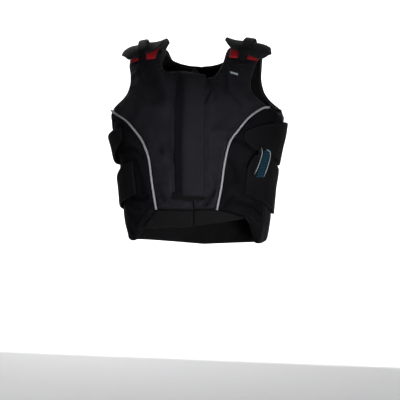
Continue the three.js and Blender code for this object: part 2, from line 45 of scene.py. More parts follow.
# The body that the padding's outer surface follows
body = {
    "halfChest": 0.184,
    "frontDepth": 0.138,
    "backDepth": 0.116,
    "frontLength": 0.343,
    "armholeDrop": 0.111,
    "ridgeRise": 0.023,
    "ridgeSlope": 0.04,
    "shoulderDroop": 0.058,
    "droopPower": 6,
    "squareness": 2.2,
    "shoulderPower": 1.25,
}
# station, width, front and back as shares of the sizes above
bodySections = [
    (-1.29, 0.765, 0.855, 0.93),
    (-1.0, 0.838, 0.9, 0.905),
    (-0.733, 0.863, 0.942, 0.897),
    (-0.474, 0.91, 0.985, 0.922),
    (-0.215, 0.972, 1.0, 0.974),
    (0.0, 1.0, 0.965, 1.0),
]
# share from opening to neck, station there, seam angle, seam station
frontSections = {
    1: [
        (0, -0.86, 22, -0.86), (0, -0.655, 25, -0.655), (0, -0.45, 26.4, -0.45),
        (0, -0.29, 28.7, -0.29), (0, -0.15, 34, -0.19), (0, 0, 41.3, -0.083),
        (0, 0.17, 51, -0.01), (0, 0.31, 60.5, 0.028), (0.04, 0.4, 53, 0.108),
        (0.35, 0.364, 46.8, 0.177), (0.6, 0.374, 42.8, 0.245), (0.76, 0.412, 41.8, 0.335),
        (0.9, 0.495, 43, 0.445), (0.98, 0.63, 45, 0.6), (1, 0.96, 49, 0.96),
    ],
    -1: [
        (0, -0.865, 24, -0.865), (0, -0.655, 26.2, -0.655), (0, -0.45, 26.9, -0.45),
        (0, -0.3, 30, -0.305), (0, -0.16, 36.5, -0.195), (0, 0, 46, -0.1),
        (0, 0.17, 58, -0.046), (0, 0.32, 70.5, -0.004), (0.05, 0.41, 59.5, 0.085),
        (0.35, 0.452, 50.8, 0.155), (0.58, 0.448, 45.6, 0.235), (0.77, 0.452, 43.6, 0.33),
        (0.91, 0.51, 44.8, 0.455), (0.98, 0.63, 48.4, 0.61), (1, 0.96, 51, 0.96),
    ],
}
cornerRow = 7
lastFront = 14
# rear angle, rear station
sideSections = {
    1: [(72, -1.19), (72, -0.86), (73, -0.6), (75, -0.4), (78, -0.21), (82, -0.075)],
    -1: [(68, -1.18), (70, -0.86), (74, -0.6), (79, -0.4), (84, -0.2), (88, -0.06)],
}
sideFoot = {1: [0, 0.08, 0.18, 0.3, 0.68, 1], -1: [0, 0.3, 0.57, 0.77, 0.93, 1]}
# end angle, lower edge at the opening and at the end
hemSections = {1: (46, -1.005, -0.948), -1: (38, -1.015, -1.04)}
# share of the back neck's half width, station there, side angle, side station
backSections = [
    (0, -1.26), (0, -1.02), (0, -0.76), (0, -0.5), (0, -0.26), (0, -0.04),
    (0, 0.2, 98, -0.035), (0, 0.4, 113, 0.075), (0, 0.57, 126, 0.19), (0.35, 0.59, 132, 0.3),
    (0.7, 0.63, 134, 0.44), (0.95, 0.71, 133, 0.6), (1, 0.96, 130, 0.96),
]
# angle, top, bottom
upperTabs = {
    1: [
        (38, -0.2, -0.27), (48, -0.155, -0.352), (60, -0.13, -0.385), (75, -0.115, -0.43),
        (88, -0.12, -0.495), (102, -0.14, -0.5), (118, -0.15, -0.48),
    ],
    -1: [
        (50, -0.16, -0.27), (62, -0.19, -0.36), (76, -0.23, -0.44), (89, -0.25, -0.49),
        (102, -0.22, -0.5), (118, -0.18, -0.48),
    ],
}
lowerTabs = {
    1: [
        (44, -0.49, -0.72), (50, -0.39, -0.745), (59, -0.41, -0.79), (73, -0.45, -0.865),
        (88, -0.52, -0.925), (102, -0.53, -0.94), (118, -0.55, -0.93),
    ],
    -1: [
        (42, -0.45, -0.735), (51, -0.475, -0.77), (63, -0.54, -0.81), (76, -0.61, -0.86),
        (89, -0.655, -0.9), (102, -0.65, -0.93), (118, -0.62, -0.93),
    ],
}
# front and back edge in even steps from the inner to the outer end
capSections = [(0.9, 1.14), (0.8, 1.27), (0.74, 1.33), (0.69, 1.35), (0.69, 1.33), (0.8, 1.2)]


def mix(a, b, t):
    return a + (b - a) * t


# A smooth curve through ys at xs that never swings past them
def smooth(xs, ys, x):
    xs, ys = np.asarray(xs, float), np.asarray(ys, float)
    x = np.clip(x, xs[0], xs[-1])
    i = np.clip(np.searchsorted(xs, x) - 1, 0, len(xs) - 2)
    slopes = np.diff(ys) / np.diff(xs)
    tangents = np.empty(len(xs))
    tangents[0], tangents[-1] = slopes[0], slopes[-1]
    before, after = slopes[:-1], slopes[1:]
    total = np.where(before + after == 0, 1, before + after)
    tangents[1:-1] = np.where(before * after > 0, 2 * before * after / total, 0)
    span = xs[i + 1] - xs[i]
    u = (x - xs[i]) / span
    return (
        ys[i] * (1 + 2 * u) * (1 - u) ** 2
        + ys[i + 1] * u * u * (3 - 2 * u)
        + span * u * (1 - u) * (tangents[i] * (1 - u) - tangents[i + 1] * u)
    )


def columnAt(rows, column, t):
    return smooth(range(len(rows)), [row[column] for row in rows], np.asarray(t) * (len(rows) - 1))


def sectionAt(station, column):
    stations = [row[0] for row in bodySections]
    return smooth(stations, [row[column] for row in bodySections], np.minimum(station, 0))


def halfWidthAt(station):
    return body["halfChest"] * sectionAt(station, 1)


def angleAt(x, station):
    return np.degrees(np.arcsin(np.clip(x / halfWidthAt(station), -1, 1)))


def skinPoint(angle, station):
    angle, station = np.broadcast_arrays(np.asarray(angle, float), np.asarray(station, float))
    sine = np.sin(np.radians(angle))
    x = halfWidthAt(station) * sine
    power = body["squareness"]
    share = (1 - np.abs(sine) ** power).clip(0) ** (1 / power)
    turn = np.radians(90 * np.clip(station, 0, 2))
    atFront = (np.cos(np.radians(angle)) > 0) != (station > 1)
    front = -body["frontDepth"] * sectionAt(station, 2)
    depth = np.where(atFront, front, body["backDepth"] * sectionAt(station, 3))
    droop = body["shoulderDroop"] * (np.abs(x) / body["halfChest"]) ** body["droopPower"]
    shoulder = body["ridgeRise"] - body["ridgeSlope"] * np.abs(x) - droop + body["armholeDrop"]
    rise = np.abs(np.sin(turn)) ** body["shoulderPower"]
    lean = np.abs(np.cos(turn)) ** body["shoulderPower"]
    bodyHeight = body["frontLength"] - body["armholeDrop"]
    z = np.minimum(station, 0) * bodyHeight - body["armholeDrop"] + shoulder * rise
    return np.stack([x, depth * share * lean, z], -1)


def unit(vectors):
    return vectors / np.maximum(np.linalg.norm(vectors, axis=-1, keepdims=True), 1e-12)


def skinNormal(angle, station):
    along = skinPoint(angle + 0.4, station) - skinPoint(angle - 0.4, station)
    up = skinPoint(angle, station + 0.004) - skinPoint(angle, station - 0.004)
    return unit(np.cross(along, up))


def lifted(place, lift):
    angle, station = place
    lift = np.broadcast_to(np.asarray(lift, float), np.shape(angle))
    return skinPoint(angle, station) + skinNormal(angle, station) * lift[..., None]


def stepsAt(angle, station):
    point = skinPoint(angle, station)
    degree = np.linalg.norm(skinPoint(angle + 1, station) - point, axis=-1)
    return degree, np.linalg.norm(skinPoint(angle, station - 0.01) - point, axis=-1) * 100


def seamPlace(side, t, aside=0.0):
    rows = frontSections[side][: cornerRow + 1]
    t = np.asarray(t, float)

    def at(u):
        u = np.clip(u, 0, 1)
        return columnAt(rows, 2, u), columnAt(rows, 3, u)

    angle, station = at(t)
    degree, tall = stepsAt(angle, station)
    before, after = at(t - 0.02), at(t + 0.02)
    run = (after[0] - before[0]) * degree
    rise = (after[1] - before[1]) * tall
    share = aside / np.hypot(run, rise)
    return angle + share * rise / degree, station - share * run / tall


def openingEdge(side):
    return side * 0.012 + 0.001


def frontPlace(side):
    rows = frontSections[side]

    def place(s, t):
        innerUp = columnAt(rows, 1, t)
        innerX = mix(openingEdge(side), 0.066, columnAt(rows, 0, t))
        seam = seamPlace(side, np.minimum(t * lastFront / cornerRow, 1), -0.0004)
        beyond = np.clip((t * lastFront - cornerRow) / (lastFront - cornerRow), 0, 1)
        arm = [columnAt(rows[cornerRow:], k, beyond) for k in (2, 3)]
        low = t * lastFront <= cornerRow
        outer = [np.where(low, seam[k], arm[k]) for k in (0, 1)]
        return side * mix(angleAt(innerX, innerUp), outer[0], s), mix(innerUp, outer[1], s)

    return place


def footStation(side, s):
    share = smooth(np.linspace(0, 1, 6), sideFoot[side], s)
    return mix(seamPlace(side, 0.0)[1], sideSections[side][0][1], share)


def sidePlace(side):
    rows = sideSections[side]

    def place(s, t):
        angle, station = seamPlace(side, t, 0.0004)
        even = mix(station, columnAt(rows, 1, t), s)
        evenFoot = mix(seamPlace(side, 0.0)[1], rows[0][1], s)
        fade = np.maximum(0, 1 - t / 0.4) ** 2
        up = even + fade * (footStation(side, s) - evenFoot)
        return side * mix(angle, columnAt(rows, 0, t), s), up

    return place


def backPlace(side):
    rows = []
    for i, row in enumerate(backSections):
        if i < len(sideSections[side]):
            rear, up = sideSections[side][i]
            gap = math.degrees(0.003 / halfWidthAt(up))
            row = (*row[:2], rear + gap, up)
        rows.append(row)

    def place(s, t):
        innerUp = columnAt(rows, 1, t)
        innerX = 0.064 * columnAt(rows, 0, t)
        angle = mix(180 - angleAt(innerX, innerUp), columnAt(rows, 2, t), s)
        return side * angle, mix(innerUp, columnAt(rows, 3, t), s)

    return place


def stripPlace(side, middle, width, start, end):
    def place(s, t):
        station = mix(start, end, t)
        return side * angleAt(middle(t) + (s - 0.5) * width(t), station), station

    return place


# Camera, stage and light
view = {
    "place": (0.2869, -1.7735, -0.1744),
    "target": (0.006, 0.0, -0.3),
    "lens": 77.1,
    "sensor": 36,
    "frame": 400,  # pixels of the photograph
}
stage = {"floor": -0.82, "back": 1.5, "bend": 0.6, "top": 2.6, "half": 30.0, "front": -30.0}
air = {"colour": (0.93, 0.95, 1.0, 1), "light": 0.1, "seen": 0.85}
lights = [
    # name, place, aimed at, size, watts, spread in degrees
    ("key", (0.85, -1.9, -0.5), (0.02, -0.12, -0.29), 0.36, 2.7, 27),
    ("left", (-1.4, -1.5, -0.2), (0, 0, -0.3), 0.8, 3, 180),
    ("top", (0.1, -0.5, 1.6), (0, 0, -0.2), 1.0, 3, 180),
    ("back", (0.0, 0.9, 0.4), (0, 3.0, 0.0), 2.4, 36, 180),
    ("rearFill", (-1.2, 1.3, 0.8), (0, 0, -0.2), 1.0, 14, 180),
]


def aim(item, target):
    direction = Vector(target) - item.location
    item.rotation_euler = direction.to_track_quat("-Z", "Y").to_euler()


def linked(name, data):
    item = bpy.data.objects.new(name, data)
    scene.collection.objects.link(item)
    return item


def makeCamera():
    data = bpy.data.cameras.new("camera")
    data.lens = view["lens"]
    data.sensor_width = view["sensor"]
    camera = linked("camera", data)
    camera.location = view["place"]
    aim(camera, view["target"])
    scene.camera = camera


# Where points fall in the photograph's frame, in pixels from its top left
def photoPoints(points):
    eye = np.array(view["place"])
    forward = unit(np.array(view["target"]) - eye)
    across = unit(np.cross(forward, [0, 0, 1]))
    up = np.cross(across, forward)
    away = points - eye
    depth = away @ forward
    scale = view["lens"] / view["sensor"] * view["frame"] / depth
    half = view["frame"] / 2
    return np.stack([half + away @ across * scale, half - away @ up * scale], -1)


def makeLights():
    for name, place, target, size, watts, spread in lights:
        data = bpy.data.lights.new(name, "AREA")
        data.size = size
        data.energy = watts
        data.spread = math.radians(spread)
        item = linked(name, data)
        item.location = place
        aim(item, target)
    world = bpy.data.worlds.new("studio")
    world.use_nodes = True
    surface = world.node_tree.nodes["Background"]
    surface.inputs["Color"].default_value = air["colour"]
    # The air lights the vest faintly, and looks pale where the paper ends
    seen = world.node_tree.nodes.new("ShaderNodeLightPath").outputs["Is Camera Ray"]
    strength = math2(world.node_tree, "MULTIPLY_ADD", seen, air["seen"] - air["light"], air["light"])
    wire(world.node_tree, strength, surface.inputs["Strength"])
    scene.world = world
    scene.view_settings.view_transform = "Standard"


# Materials
def nodeGroup(name, inputs, outputs):
    tree = bpy.data.node_groups.new(name, "ShaderNodeTree")
    for label, kind, value in inputs:
        socket = tree.interface.new_socket(name=label, in_out="INPUT", socket_type=kind)
        if value is not None:
            socket.default_value = value
    for label, kind in outputs:
        tree.interface.new_socket(name=label, in_out="OUTPUT", socket_type=kind)
    return tree, tree.nodes.new("NodeGroupInput"), tree.nodes.new("NodeGroupOutput")


def wire(tree, value, socket):
    if isinstance(value, bpy.types.NodeSocket):
        tree.links.new(value, socket)
    else:
        socket.default_value = value


def math2(tree, operation, a, b=None, c=None):
    node = tree.nodes.new("ShaderNodeMath")
    node.operation = operation
    for socket, value in zip(node.inputs, (a, b, c)):
        if value is not None:
            wire(tree, value, socket)
    return node.outputs[0]


def mixed(tree, kind, factor, a, b):
    node = tree.nodes.new("ShaderNodeMix")
    node.data_type = kind
    sockets = [s for s in node.inputs if s.enabled]
    for socket, value in zip(sockets, (factor, a, b)):
        wire(tree, value, socket)
    return next(s for s in node.outputs if s.enabled)


def noiseOf(tree, vector, scale, detail=3.0, roughness=0.5):
    node = tree.nodes.new("ShaderNodeTexNoise")
    wire(tree, vector, node.inputs["Vector"])
    node.inputs["Scale"].default_value = scale
    node.inputs["Detail"].default_value = detail
    node.inputs["Roughness"].default_value = roughness
    return node.outputs[0]


def ramp(tree, value, low, high, toLow=0.0, toHigh=1.0):
    node = tree.nodes.new("ShaderNodeMapRange")
    node.interpolation_type = "SMOOTHSTEP"
    for socket, given in zip(node.inputs, (value, low, high, toLow, toHigh)):
        wire(tree, given, socket)
    return node.outputs[0]


# Threads over and under each other, laid round the body and up it
def weaveGroup():
    inputs = [
        ("Place", "NodeSocketVector", None),
        ("Pitch", "NodeSocketFloat", 0.0012),
        ("Rib", "NodeSocketFloat", 0.0),
    ]
    tree, given, made = nodeGroup("threads", inputs, [("Height", "NodeSocketFloat")])
    parts = tree.nodes.new("ShaderNodeSeparateXYZ")
    wire(tree, given.outputs["Place"], parts.inputs[0])
    x, y, z = parts.outputs
    turn = math2(tree, "ARCTAN2", x, math2(tree, "MULTIPLY", y, -1.0))
    reach = 0.15  # metres from the body's middle to the cloth, about
    step = math2(tree, "DIVIDE", math.pi, given.outputs["Pitch"])
    across = math2(tree, "MULTIPLY", math2(tree, "MULTIPLY", turn, reach), step)
    upward = math2(tree, "MULTIPLY", z, step)
    sines = [math2(tree, "SINE", value) for value in (across, upward)]
    warp, weft = [math2(tree, "ABSOLUTE", value) for value in sines]
    over = math2(tree, "GREATER_THAN", math2(tree, "MULTIPLY", *[
        math2(tree, "SINE", math2(tree, "ADD", value, math.pi / 2)) for value in (across, upward)
    ]), 0.0)
    plain = mixed(tree, "FLOAT", over, warp, weft)
    wire(tree, mixed(tree, "FLOAT", given.outputs["Rib"], plain, weft), made.inputs["Height"])
    return tree


# Cloth colour that varies in soft patches and pales where edges rub; in folds it darkens as painted shade,
# and on ridges it pales as painted highlight
def toneGroup():
    inputs = [
        ("Place", "NodeSocketVector", None),
        ("Cloth", "NodeSocketColor", (0.01, 0.01, 0.01, 1)),
        ("Faded", "NodeSocketColor", (0.02, 0.02, 0.02, 1)),
        ("Worn", "NodeSocketColor", (0.04, 0.04, 0.04, 1)),
        ("Wear", "NodeSocketFloat", 0.4),
        ("Rough", "NodeSocketFloat", 0.7),
    ]
    outputs = [("Colour", "NodeSocketColor"), ("Roughness", "NodeSocketFloat"), ("Fuzz", "NodeSocketFloat")]
    tree, given, made = nodeGroup("clothTone", inputs, outputs)
    place = given.outputs["Place"]
    patches = ramp(tree, noiseOf(tree, place, 9.0, 4.0), 0.35, 0.7)
    fibres = noiseOf(tree, place, 900.0, 2.0)
    edge = tree.nodes.new("ShaderNodeAttribute")
    edge.attribute_name = "rub"
    ragged = ramp(tree, noiseOf(tree, place, 160.0, 4.0, 0.7), 0.42, 0.72)
    worn = math2(tree, "MULTIPLY", edge.outputs["Fac"], ragged)
    rubbed = math2(tree, "MULTIPLY", worn, given.outputs["Wear"])
    colour = mixed(tree, "RGBA", patches, given.outputs["Cloth"], given.outputs["Faded"])
    lint = ramp(tree, noiseOf(tree, place, 330.0, 1.0), 0.74, 0.8, 0.0, 0.35)
    shade = math2(tree, "MAXIMUM", rubbed, lint)
    # Painted shade and highlight: the fold mark scales the colour by 1 + 0.4 × fold, darker in valleys and
    # paler on ridges
    foldShadeAndHighlight = tree.nodes.new("ShaderNodeAttribute")
    foldShadeAndHighlight.attribute_name = "fold"
    paintedFoldShading = tree.nodes.new("ShaderNodeVectorMath")
    paintedFoldShading.operation = "SCALE"
    wire(tree, mixed(tree, "RGBA", shade, colour, given.outputs["Worn"]), paintedFoldShading.inputs[0])
    wire(tree, math2(tree, "MULTIPLY_ADD", foldShadeAndHighlight.outputs["Fac"], 0.4, 1.0), paintedFoldShading.inputs["Scale"])
    wire(tree, paintedFoldShading.outputs[0], made.inputs["Colour"])
    rough = math2(tree, "ADD", given.outputs["Rough"], math2(tree, "MULTIPLY", patches, 0.08))
    wire(tree, math2(tree, "ADD", rough, math2(tree, "MULTIPLY", rubbed, 0.1)), made.inputs["Roughness"])
    wire(tree, fibres, made.inputs["Fuzz"])
    return tree


groups = {}


def grouped(tree, name, **values):
    node = tree.nodes.new("ShaderNodeGroup")
    node.node_tree = groups[name]
    for key, value in values.items():
        wire(tree, value, node.inputs[key])
    return node


# A cloth material from a look: colours, wear and roughness, then threads, fuzz, sheen and shine
def fabric(name, look):
    material = bpy.data.materials.new(name)
    material.use_nodes = True
    tree = material.node_tree
    shader = tree.nodes["Principled BSDF"]
    place = tree.nodes.new("ShaderNodeTexCoord").outputs["Object"]
    tone = grouped(
        tree, "clothTone", Place=place, Cloth=(*look["cloth"], 1), Faded=(*look["faded"], 1),
        Worn=(*look["worn"], 1), Wear=look["wear"], Rough=look["rough"],
    )
    threads = grouped(tree, "threads", Place=place, Pitch=look["pitch"], Rib=look["rib"])
    # Painted shade between threads: the colour darkens to 0.72 of itself where the threads lie low
    depth = ramp(tree, threads.outputs["Height"], 0.0, 0.6, 0.72, 1.0)
    colour = tree.nodes.new("ShaderNodeMix")
    colour.data_type = "RGBA"
    colour.blend_type = "MULTIPLY"
    sockets = [s for s in colour.inputs if s.enabled]
    for socket, value in zip(sockets, (1.0, tone.outputs["Colour"], depth)):
        wire(tree, value, socket)
    wire(tree, next(s for s in colour.outputs if s.enabled), shader.inputs["Base Color"])
    wire(tree, tone.outputs["Roughness"], shader.inputs["Roughness"])
    height = math2(tree, "MULTIPLY", threads.outputs["Height"], look["weave"])
    fuzzed = math2(tree, "MULTIPLY_ADD", tone.outputs["Fuzz"], look["fuzz"], height)
    bump = tree.nodes.new("ShaderNodeBump")
    bump.inputs["Strength"].default_value = 0.6
    bump.inputs["Distance"].default_value = 0.0004
    wire(tree, fuzzed, bump.inputs["Height"])
    wire(tree, bump.outputs["Normal"], shader.inputs["Normal"])
    shader.inputs["Sheen Weight"].default_value = look["sheen"]
    shader.inputs["Sheen Roughness"].default_value = 0.45
    shader.inputs["Specular IOR Level"].default_value = look["shine"]
    return material


# What the cloths share; a look below gives only what differs
plainCloth = {
    "rough": 0.6, "wear": 0.35, "pitch": 0.0009, "rib": 0.0, "weave": 0.5, "fuzz": 0.25, "sheen": 0.0,
    "shine": 0.012,
}
looks = {
    "panelNylon": {
        "cloth": (0.0049, 0.0048, 0.0061), "faded": (0.0066, 0.0064, 0.0079),
        "worn": (0.0104, 0.0104, 0.0122), "shine": 0.028,
    },
    "capNylon": {
        "cloth": (0.0067, 0.0067, 0.0076), "faded": (0.0088, 0.0088, 0.0096),
        "worn": (0.014, 0.014, 0.0155), "shine": 0.03,
    },
    # Painted shade: a darker copy of the front panels' nylon for the side panels
    "sideNylonShaded": {
        "cloth": (0.002, 0.002, 0.0025), "faded": (0.0028, 0.0028, 0.0034),
        "worn": (0.0053, 0.0053, 0.0062), "rough": 0.75,
    },
    "hemCloth": {
        "cloth": (0.0034, 0.0034, 0.0037), "faded": (0.0043, 0.0043, 0.0046),
        "worn": (0.008, 0.008, 0.0082),
        "rough": 0.8, "wear": 0.45, "pitch": 0.0012, "weave": 0.7, "fuzz": 0.5,
    },
    "lining": {
        "cloth": (0.00264, 0.00264, 0.00288), "faded": (0.0036, 0.0036, 0.00384),
        "worn": (0.00672, 0.00672, 0.00672),
        "rough": 0.85, "wear": 0.2, "pitch": 0.0022, "weave": 1.0, "fuzz": 0.4, "shine": 0.01,
    },
    "tabCloth": {
        "cloth": (0.00234, 0.00234, 0.0027), "faded": (0.00327, 0.00327, 0.0037),
        "worn": (0.00711, 0.00711, 0.00782),
        "rough": 0.75, "wear": 0.5, "pitch": 0.0014, "fuzz": 1.0, "sheen": 0.004,
    },
    "webbing": {
        "cloth": (0.002337, 0.00238, 0.00272), "faded": (0.003315, 0.003315, 0.00374),
        "worn": (0.0068, 0.0068, 0.007225),
        "rough": 0.55, "wear": 0.5, "pitch": 0.0016, "rib": 1.0, "weave": 1.2, "fuzz": 0.3, "shine": 0.04,
    },
    "bindingTape": {
        "cloth": (0.00252, 0.00259, 0.00298), "faded": (0.00332, 0.0034, 0.00385),
        "worn": (0.0056, 0.0056, 0.0063),
        "rough": 0.7, "wear": 0.6, "pitch": 0.0007, "rib": 1.0, "weave": 0.6, "fuzz": 0.2,
    },
    "thread": {
        "cloth": (0.00462, 0.00462, 0.00545), "faded": (0.00594, 0.00594, 0.00693),
        "worn": (0.0099, 0.0099, 0.0099),
        "rough": 0.45, "wear": 0.2, "pitch": 0.0005, "rib": 1.0, "weave": 0.3, "fuzz": 0.2, "shine": 0.04,
    },
    "palePiping": {
        "cloth": (0.143, 0.143, 0.152), "faded": (0.117, 0.117, 0.125), "worn": (0.0695, 0.0695, 0.0739),
        "rough": 0.4, "wear": 0.4, "pitch": 0.0011, "rib": 1.0, "weave": 0.6, "fuzz": 0.15, "shine": 0.2,
    },
    "redBand": {
        "cloth": (0.222, 0.0062, 0.011), "faded": (0.168, 0.0055, 0.0083), "worn": (0.265, 0.04, 0.04),
        "rough": 0.5, "wear": 0.4, "pitch": 0.0011, "weave": 0.7, "fuzz": 0.3, "shine": 0.05,
    },
    "blueLabel": {
        "cloth": (0.00231, 0.0173, 0.0303), "faded": (0.00173, 0.0116, 0.0202),
        "worn": (0.00863, 0.026, 0.0346),
        "rough": 0.5, "wear": 0.3, "pitch": 0.0008, "rib": 1.0, "weave": 0.6, "fuzz": 0.2, "shine": 0.05,
    },
    "paleLabel": {
        "cloth": (0.18, 0.198, 0.216), "faded": (0.144, 0.162, 0.18), "worn": (0.09, 0.102, 0.108),
        "rough": 0.5, "wear": 0.3, "pitch": 0.0008, "rib": 1.0, "weave": 0.6, "fuzz": 0.2, "shine": 0.08,
    },
    "zipPlastic": {
        "cloth": (0.005, 0.005, 0.006), "faded": (0.007, 0.007, 0.008), "worn": (0.03, 0.03, 0.03),
        "rough": 0.32, "wear": 0.3, "pitch": 0.01, "weave": 0.0, "fuzz": 0.05, "shine": 0.5,
    },
}


# A pale floor that bends up into the backdrop
def makeFloor():
    values = stage
    profile = [(values["front"], values["floor"]), (values["back"] - values["bend"], values["floor"])]
    for k in range(1, 13):
        turn = math.pi / 2 * k / 12
        y = values["back"] - values["bend"] + values["bend"] * math.sin(turn)
        profile.append((y, values["floor"] + values["bend"] * (1 - math.cos(turn))))
    profile.append((values["back"], values["top"]))
    verts = [(x, y, z) for y, z in profile for x in (-values["half"], values["half"])]
    faces = [(2 * k, 2 * k + 1, 2 * k + 3, 2 * k + 2) for k in range(len(profile) - 1)]
    mesh = bpy.data.meshes.new("studioFloor")
    mesh.from_pydata(verts, [], faces)
    mesh.shade_smooth()
    floor = linked("studioFloor", mesh)
    material = bpy.data.materials.new("studioPaper")
    material.use_nodes = True
    shader = material.node_tree.nodes["Principled BSDF"]
    place = material.node_tree.nodes.new("ShaderNodeTexCoord").outputs["Object"]
    grain = noiseOf(material.node_tree, place, 3.0, 3.0)
    paper = mixed(material.node_tree, "RGBA", grain, (0.9, 0.9, 0.905, 1), (0.93, 0.93, 0.93, 1))
    wire(material.node_tree, paper, shader.inputs["Base Color"])
    shader.inputs["Roughness"].default_value = 0.9
    shader.inputs["Specular IOR Level"].default_value = 0.1
    mesh.materials.append(material)


# Meshes
def addValues(mesh, key, values):
    mark = mesh.attributes.new(key, "FLOAT", "POINT")
    mark.data.foreach_set("value", np.asarray(values, np.float32))


def valuesOf(mesh, key):
    found = np.zeros(len(mesh.vertices), np.float32)
    mesh.attributes[key].data.foreach_get("value", found)
    return found


def vectorsOf(mesh, key):
    found = np.zeros(len(mesh.vertices) * 3, np.float32)
    mesh.vertices.foreach_get(key, found)
    return found.reshape(-1, 3).astype(float)


def volumeOf(verts, faces):
    total = 0.0
    for size in {len(face) for face in faces}:
        corners = (verts - verts.mean(0))[np.array([face for face in faces if len(face) == size])]
        for k in range(1, size - 1):
            total += (corners[:, 0] * np.cross(corners[:, k], corners[:, k + 1])).sum()
    return total / 6


def meshObject(name, verts, faces, materials, which=None, rub=None, closed=True):
    mesh = bpy.data.meshes.new(name)
    verts = np.asarray(verts, float)
    if closed and volumeOf(verts, faces) < 0:
        faces = [face[::-1] for face in faces]
    mesh.from_pydata([tuple(v) for v in verts], [], faces)
    for key in materials:
        mesh.materials.append(bpy.data.materials[key])
    if which is not None:
        mesh.polygons.foreach_set("material_index", np.asarray(which, np.int32))
    if rub is not None:
        addValues(mesh, "rub", rub)
    mesh.validate()
    mesh.shade_smooth()
    return linked(name, mesh)


# Puts a piece's modifiers into its mesh
def settle(item):
    bpy.context.view_layer.update()
    graph = bpy.context.evaluated_depsgraph_get()
    shaped = item.evaluated_get(graph)
    mesh = bpy.data.meshes.new_from_object(shaped, preserve_all_data_layers=True, depsgraph=graph)
    old = item.data
    item.modifiers.clear()
    item.data = mesh
    bpy.data.meshes.remove(old)
    mesh.name = item.name


def join(target, others):
    if not others:
        return target
    chosen = [target, *others]
    with bpy.context.temp_override(
        object=target, active_object=target, selected_objects=chosen, selected_editable_objects=chosen
    ):
        bpy.ops.object.join()
    return target


def finer(item, levels=1):
    modifier = item.modifiers.new("subdivision", "SUBSURF")
    modifier.levels = modifier.render_levels = levels
    settle(item)


# Shares of a length about a step apart, closer together towards both ends
def evenLines(length, step, crowd=0.55):
    count = max(4, int(round(length / step)))
    u = np.linspace(0, 1, count + 1)
    return u - crowd * np.sin(2 * math.pi * u) / (2 * math.pi)


def pathLength(points):
    return float(np.linalg.norm(np.diff(points, axis=0), axis=-1).sum())


def lineDistance(points, line):
    start, along = line[:-1], np.diff(line, axis=0)
    size = np.maximum((along**2).sum(-1), 1e-18)
    best = np.full(len(points), 1e9)
    for a, d, q in zip(start, along, size):
        t = np.clip((points - a) @ d / q, 0, 1)
        best = np.minimum(best, np.linalg.norm(points - a - t[:, None] * d, axis=-1))
    return best


# A grid laid over the body: its places, points, normals and distance from its border
def makeSheet(place, step, joinTo=0.0, crowd=0.55):
    u = np.linspace(0, 1, 61)
    half = np.full_like(u, 0.5)
    width = max(pathLength(lifted(place(u, np.full_like(u, t)), 0)) for t in (0.02, 0.5, 0.98))
    height = pathLength(lifted(place(half, u), 0))
    s, t = np.meshgrid(evenLines(width, step, crowd), evenLines(height, step, crowd))
    angle, station = place(s, t)
    zero, one = np.zeros_like(u), np.ones_like(u)
    border = [(zero, mix(joinTo, 1, u)), (one, u), (u, zero), (u, one)]
    points = skinPoint(angle, station)
    flat = points.reshape(-1, 3)
    edge = [lineDistance(flat, lifted(place(*b), 0)).reshape(s.shape) for b in border]
    return {
        "s": s, "t": t, "angle": angle, "station": station, "points": points,
        "normals": skinNormal(angle, station), "edge": np.minimum.reduce(edge),
    }


def fallOf(share):
    return 1 - np.sqrt(1 - (1 - np.minimum(share, 1)) ** 2)


# Faces of a closed grid of two sides. Vertices: outer side, inner side, then wall rings.
def closedFaces(rows, columns, offset=0, openRows=0, wall=1):
    count = rows * columns
    border = [(0, j) for j in range(columns)]
    border += [(i, columns - 1) for i in range(1, rows)]
    border += [(rows - 1, j) for j in range(columns - 2, -1, -1)]
    border += [(i, 0) for i in range(rows - 2, 0, -1)]
    number = {place: k for k, place in enumerate(border)}

    def at(place, ring):
        i, j = place
        if ring == 0:
            return offset + i * columns + j
        if ring == wall + 1:
            return offset + count + i * columns + j
        return offset + 2 * count + (ring - 1) * len(border) + number[place]

    faces, kinds = [], []
    for i in range(rows - 1):
        for j in range(columns - 1):
            a, b, c, d = [(i, j), (i, j + 1), (i + 1, j + 1), (i + 1, j)]
            faces.append([at(p, 0) for p in (a, b, c, d)])
            faces.append([at(p, wall + 1) for p in (d, c, b, a)])
            kinds += [0, 1]
    for k, here in enumerate(border):
        after = border[(k + 1) % len(border)]
        if here[1] == 0 and after[1] == 0 and max(here[0], after[0]) <= openRows:
            continue
        for ring in range(wall + 1):
            faces.append([at(after, ring), at(here, ring), at(here, ring + 1), at(after, ring + 1)])
            kinds.append(2)
    return faces, kinds, border


def closedVerts(outer, inner, border, wall=1, bulge=0.0006):
    rows, columns = outer.shape[:2]
    i = np.array([p[0] for p in border])
    j = np.array([p[1] for p in border])
    inward = outer[np.clip(i, 1, rows - 2), np.clip(j, 1, columns - 2)]
    push = unit(outer[i, j] - inward)
    rings = []
    for ring in range(1, wall + 1):
        share = ring / (wall + 1)
        middle = mix(outer[i, j], inner[i, j], share)
        rings.append(middle + push * bulge * math.sin(math.pi * share))
    return np.concatenate([outer.reshape(-1, 3), inner.reshape(-1, 3), *rings])


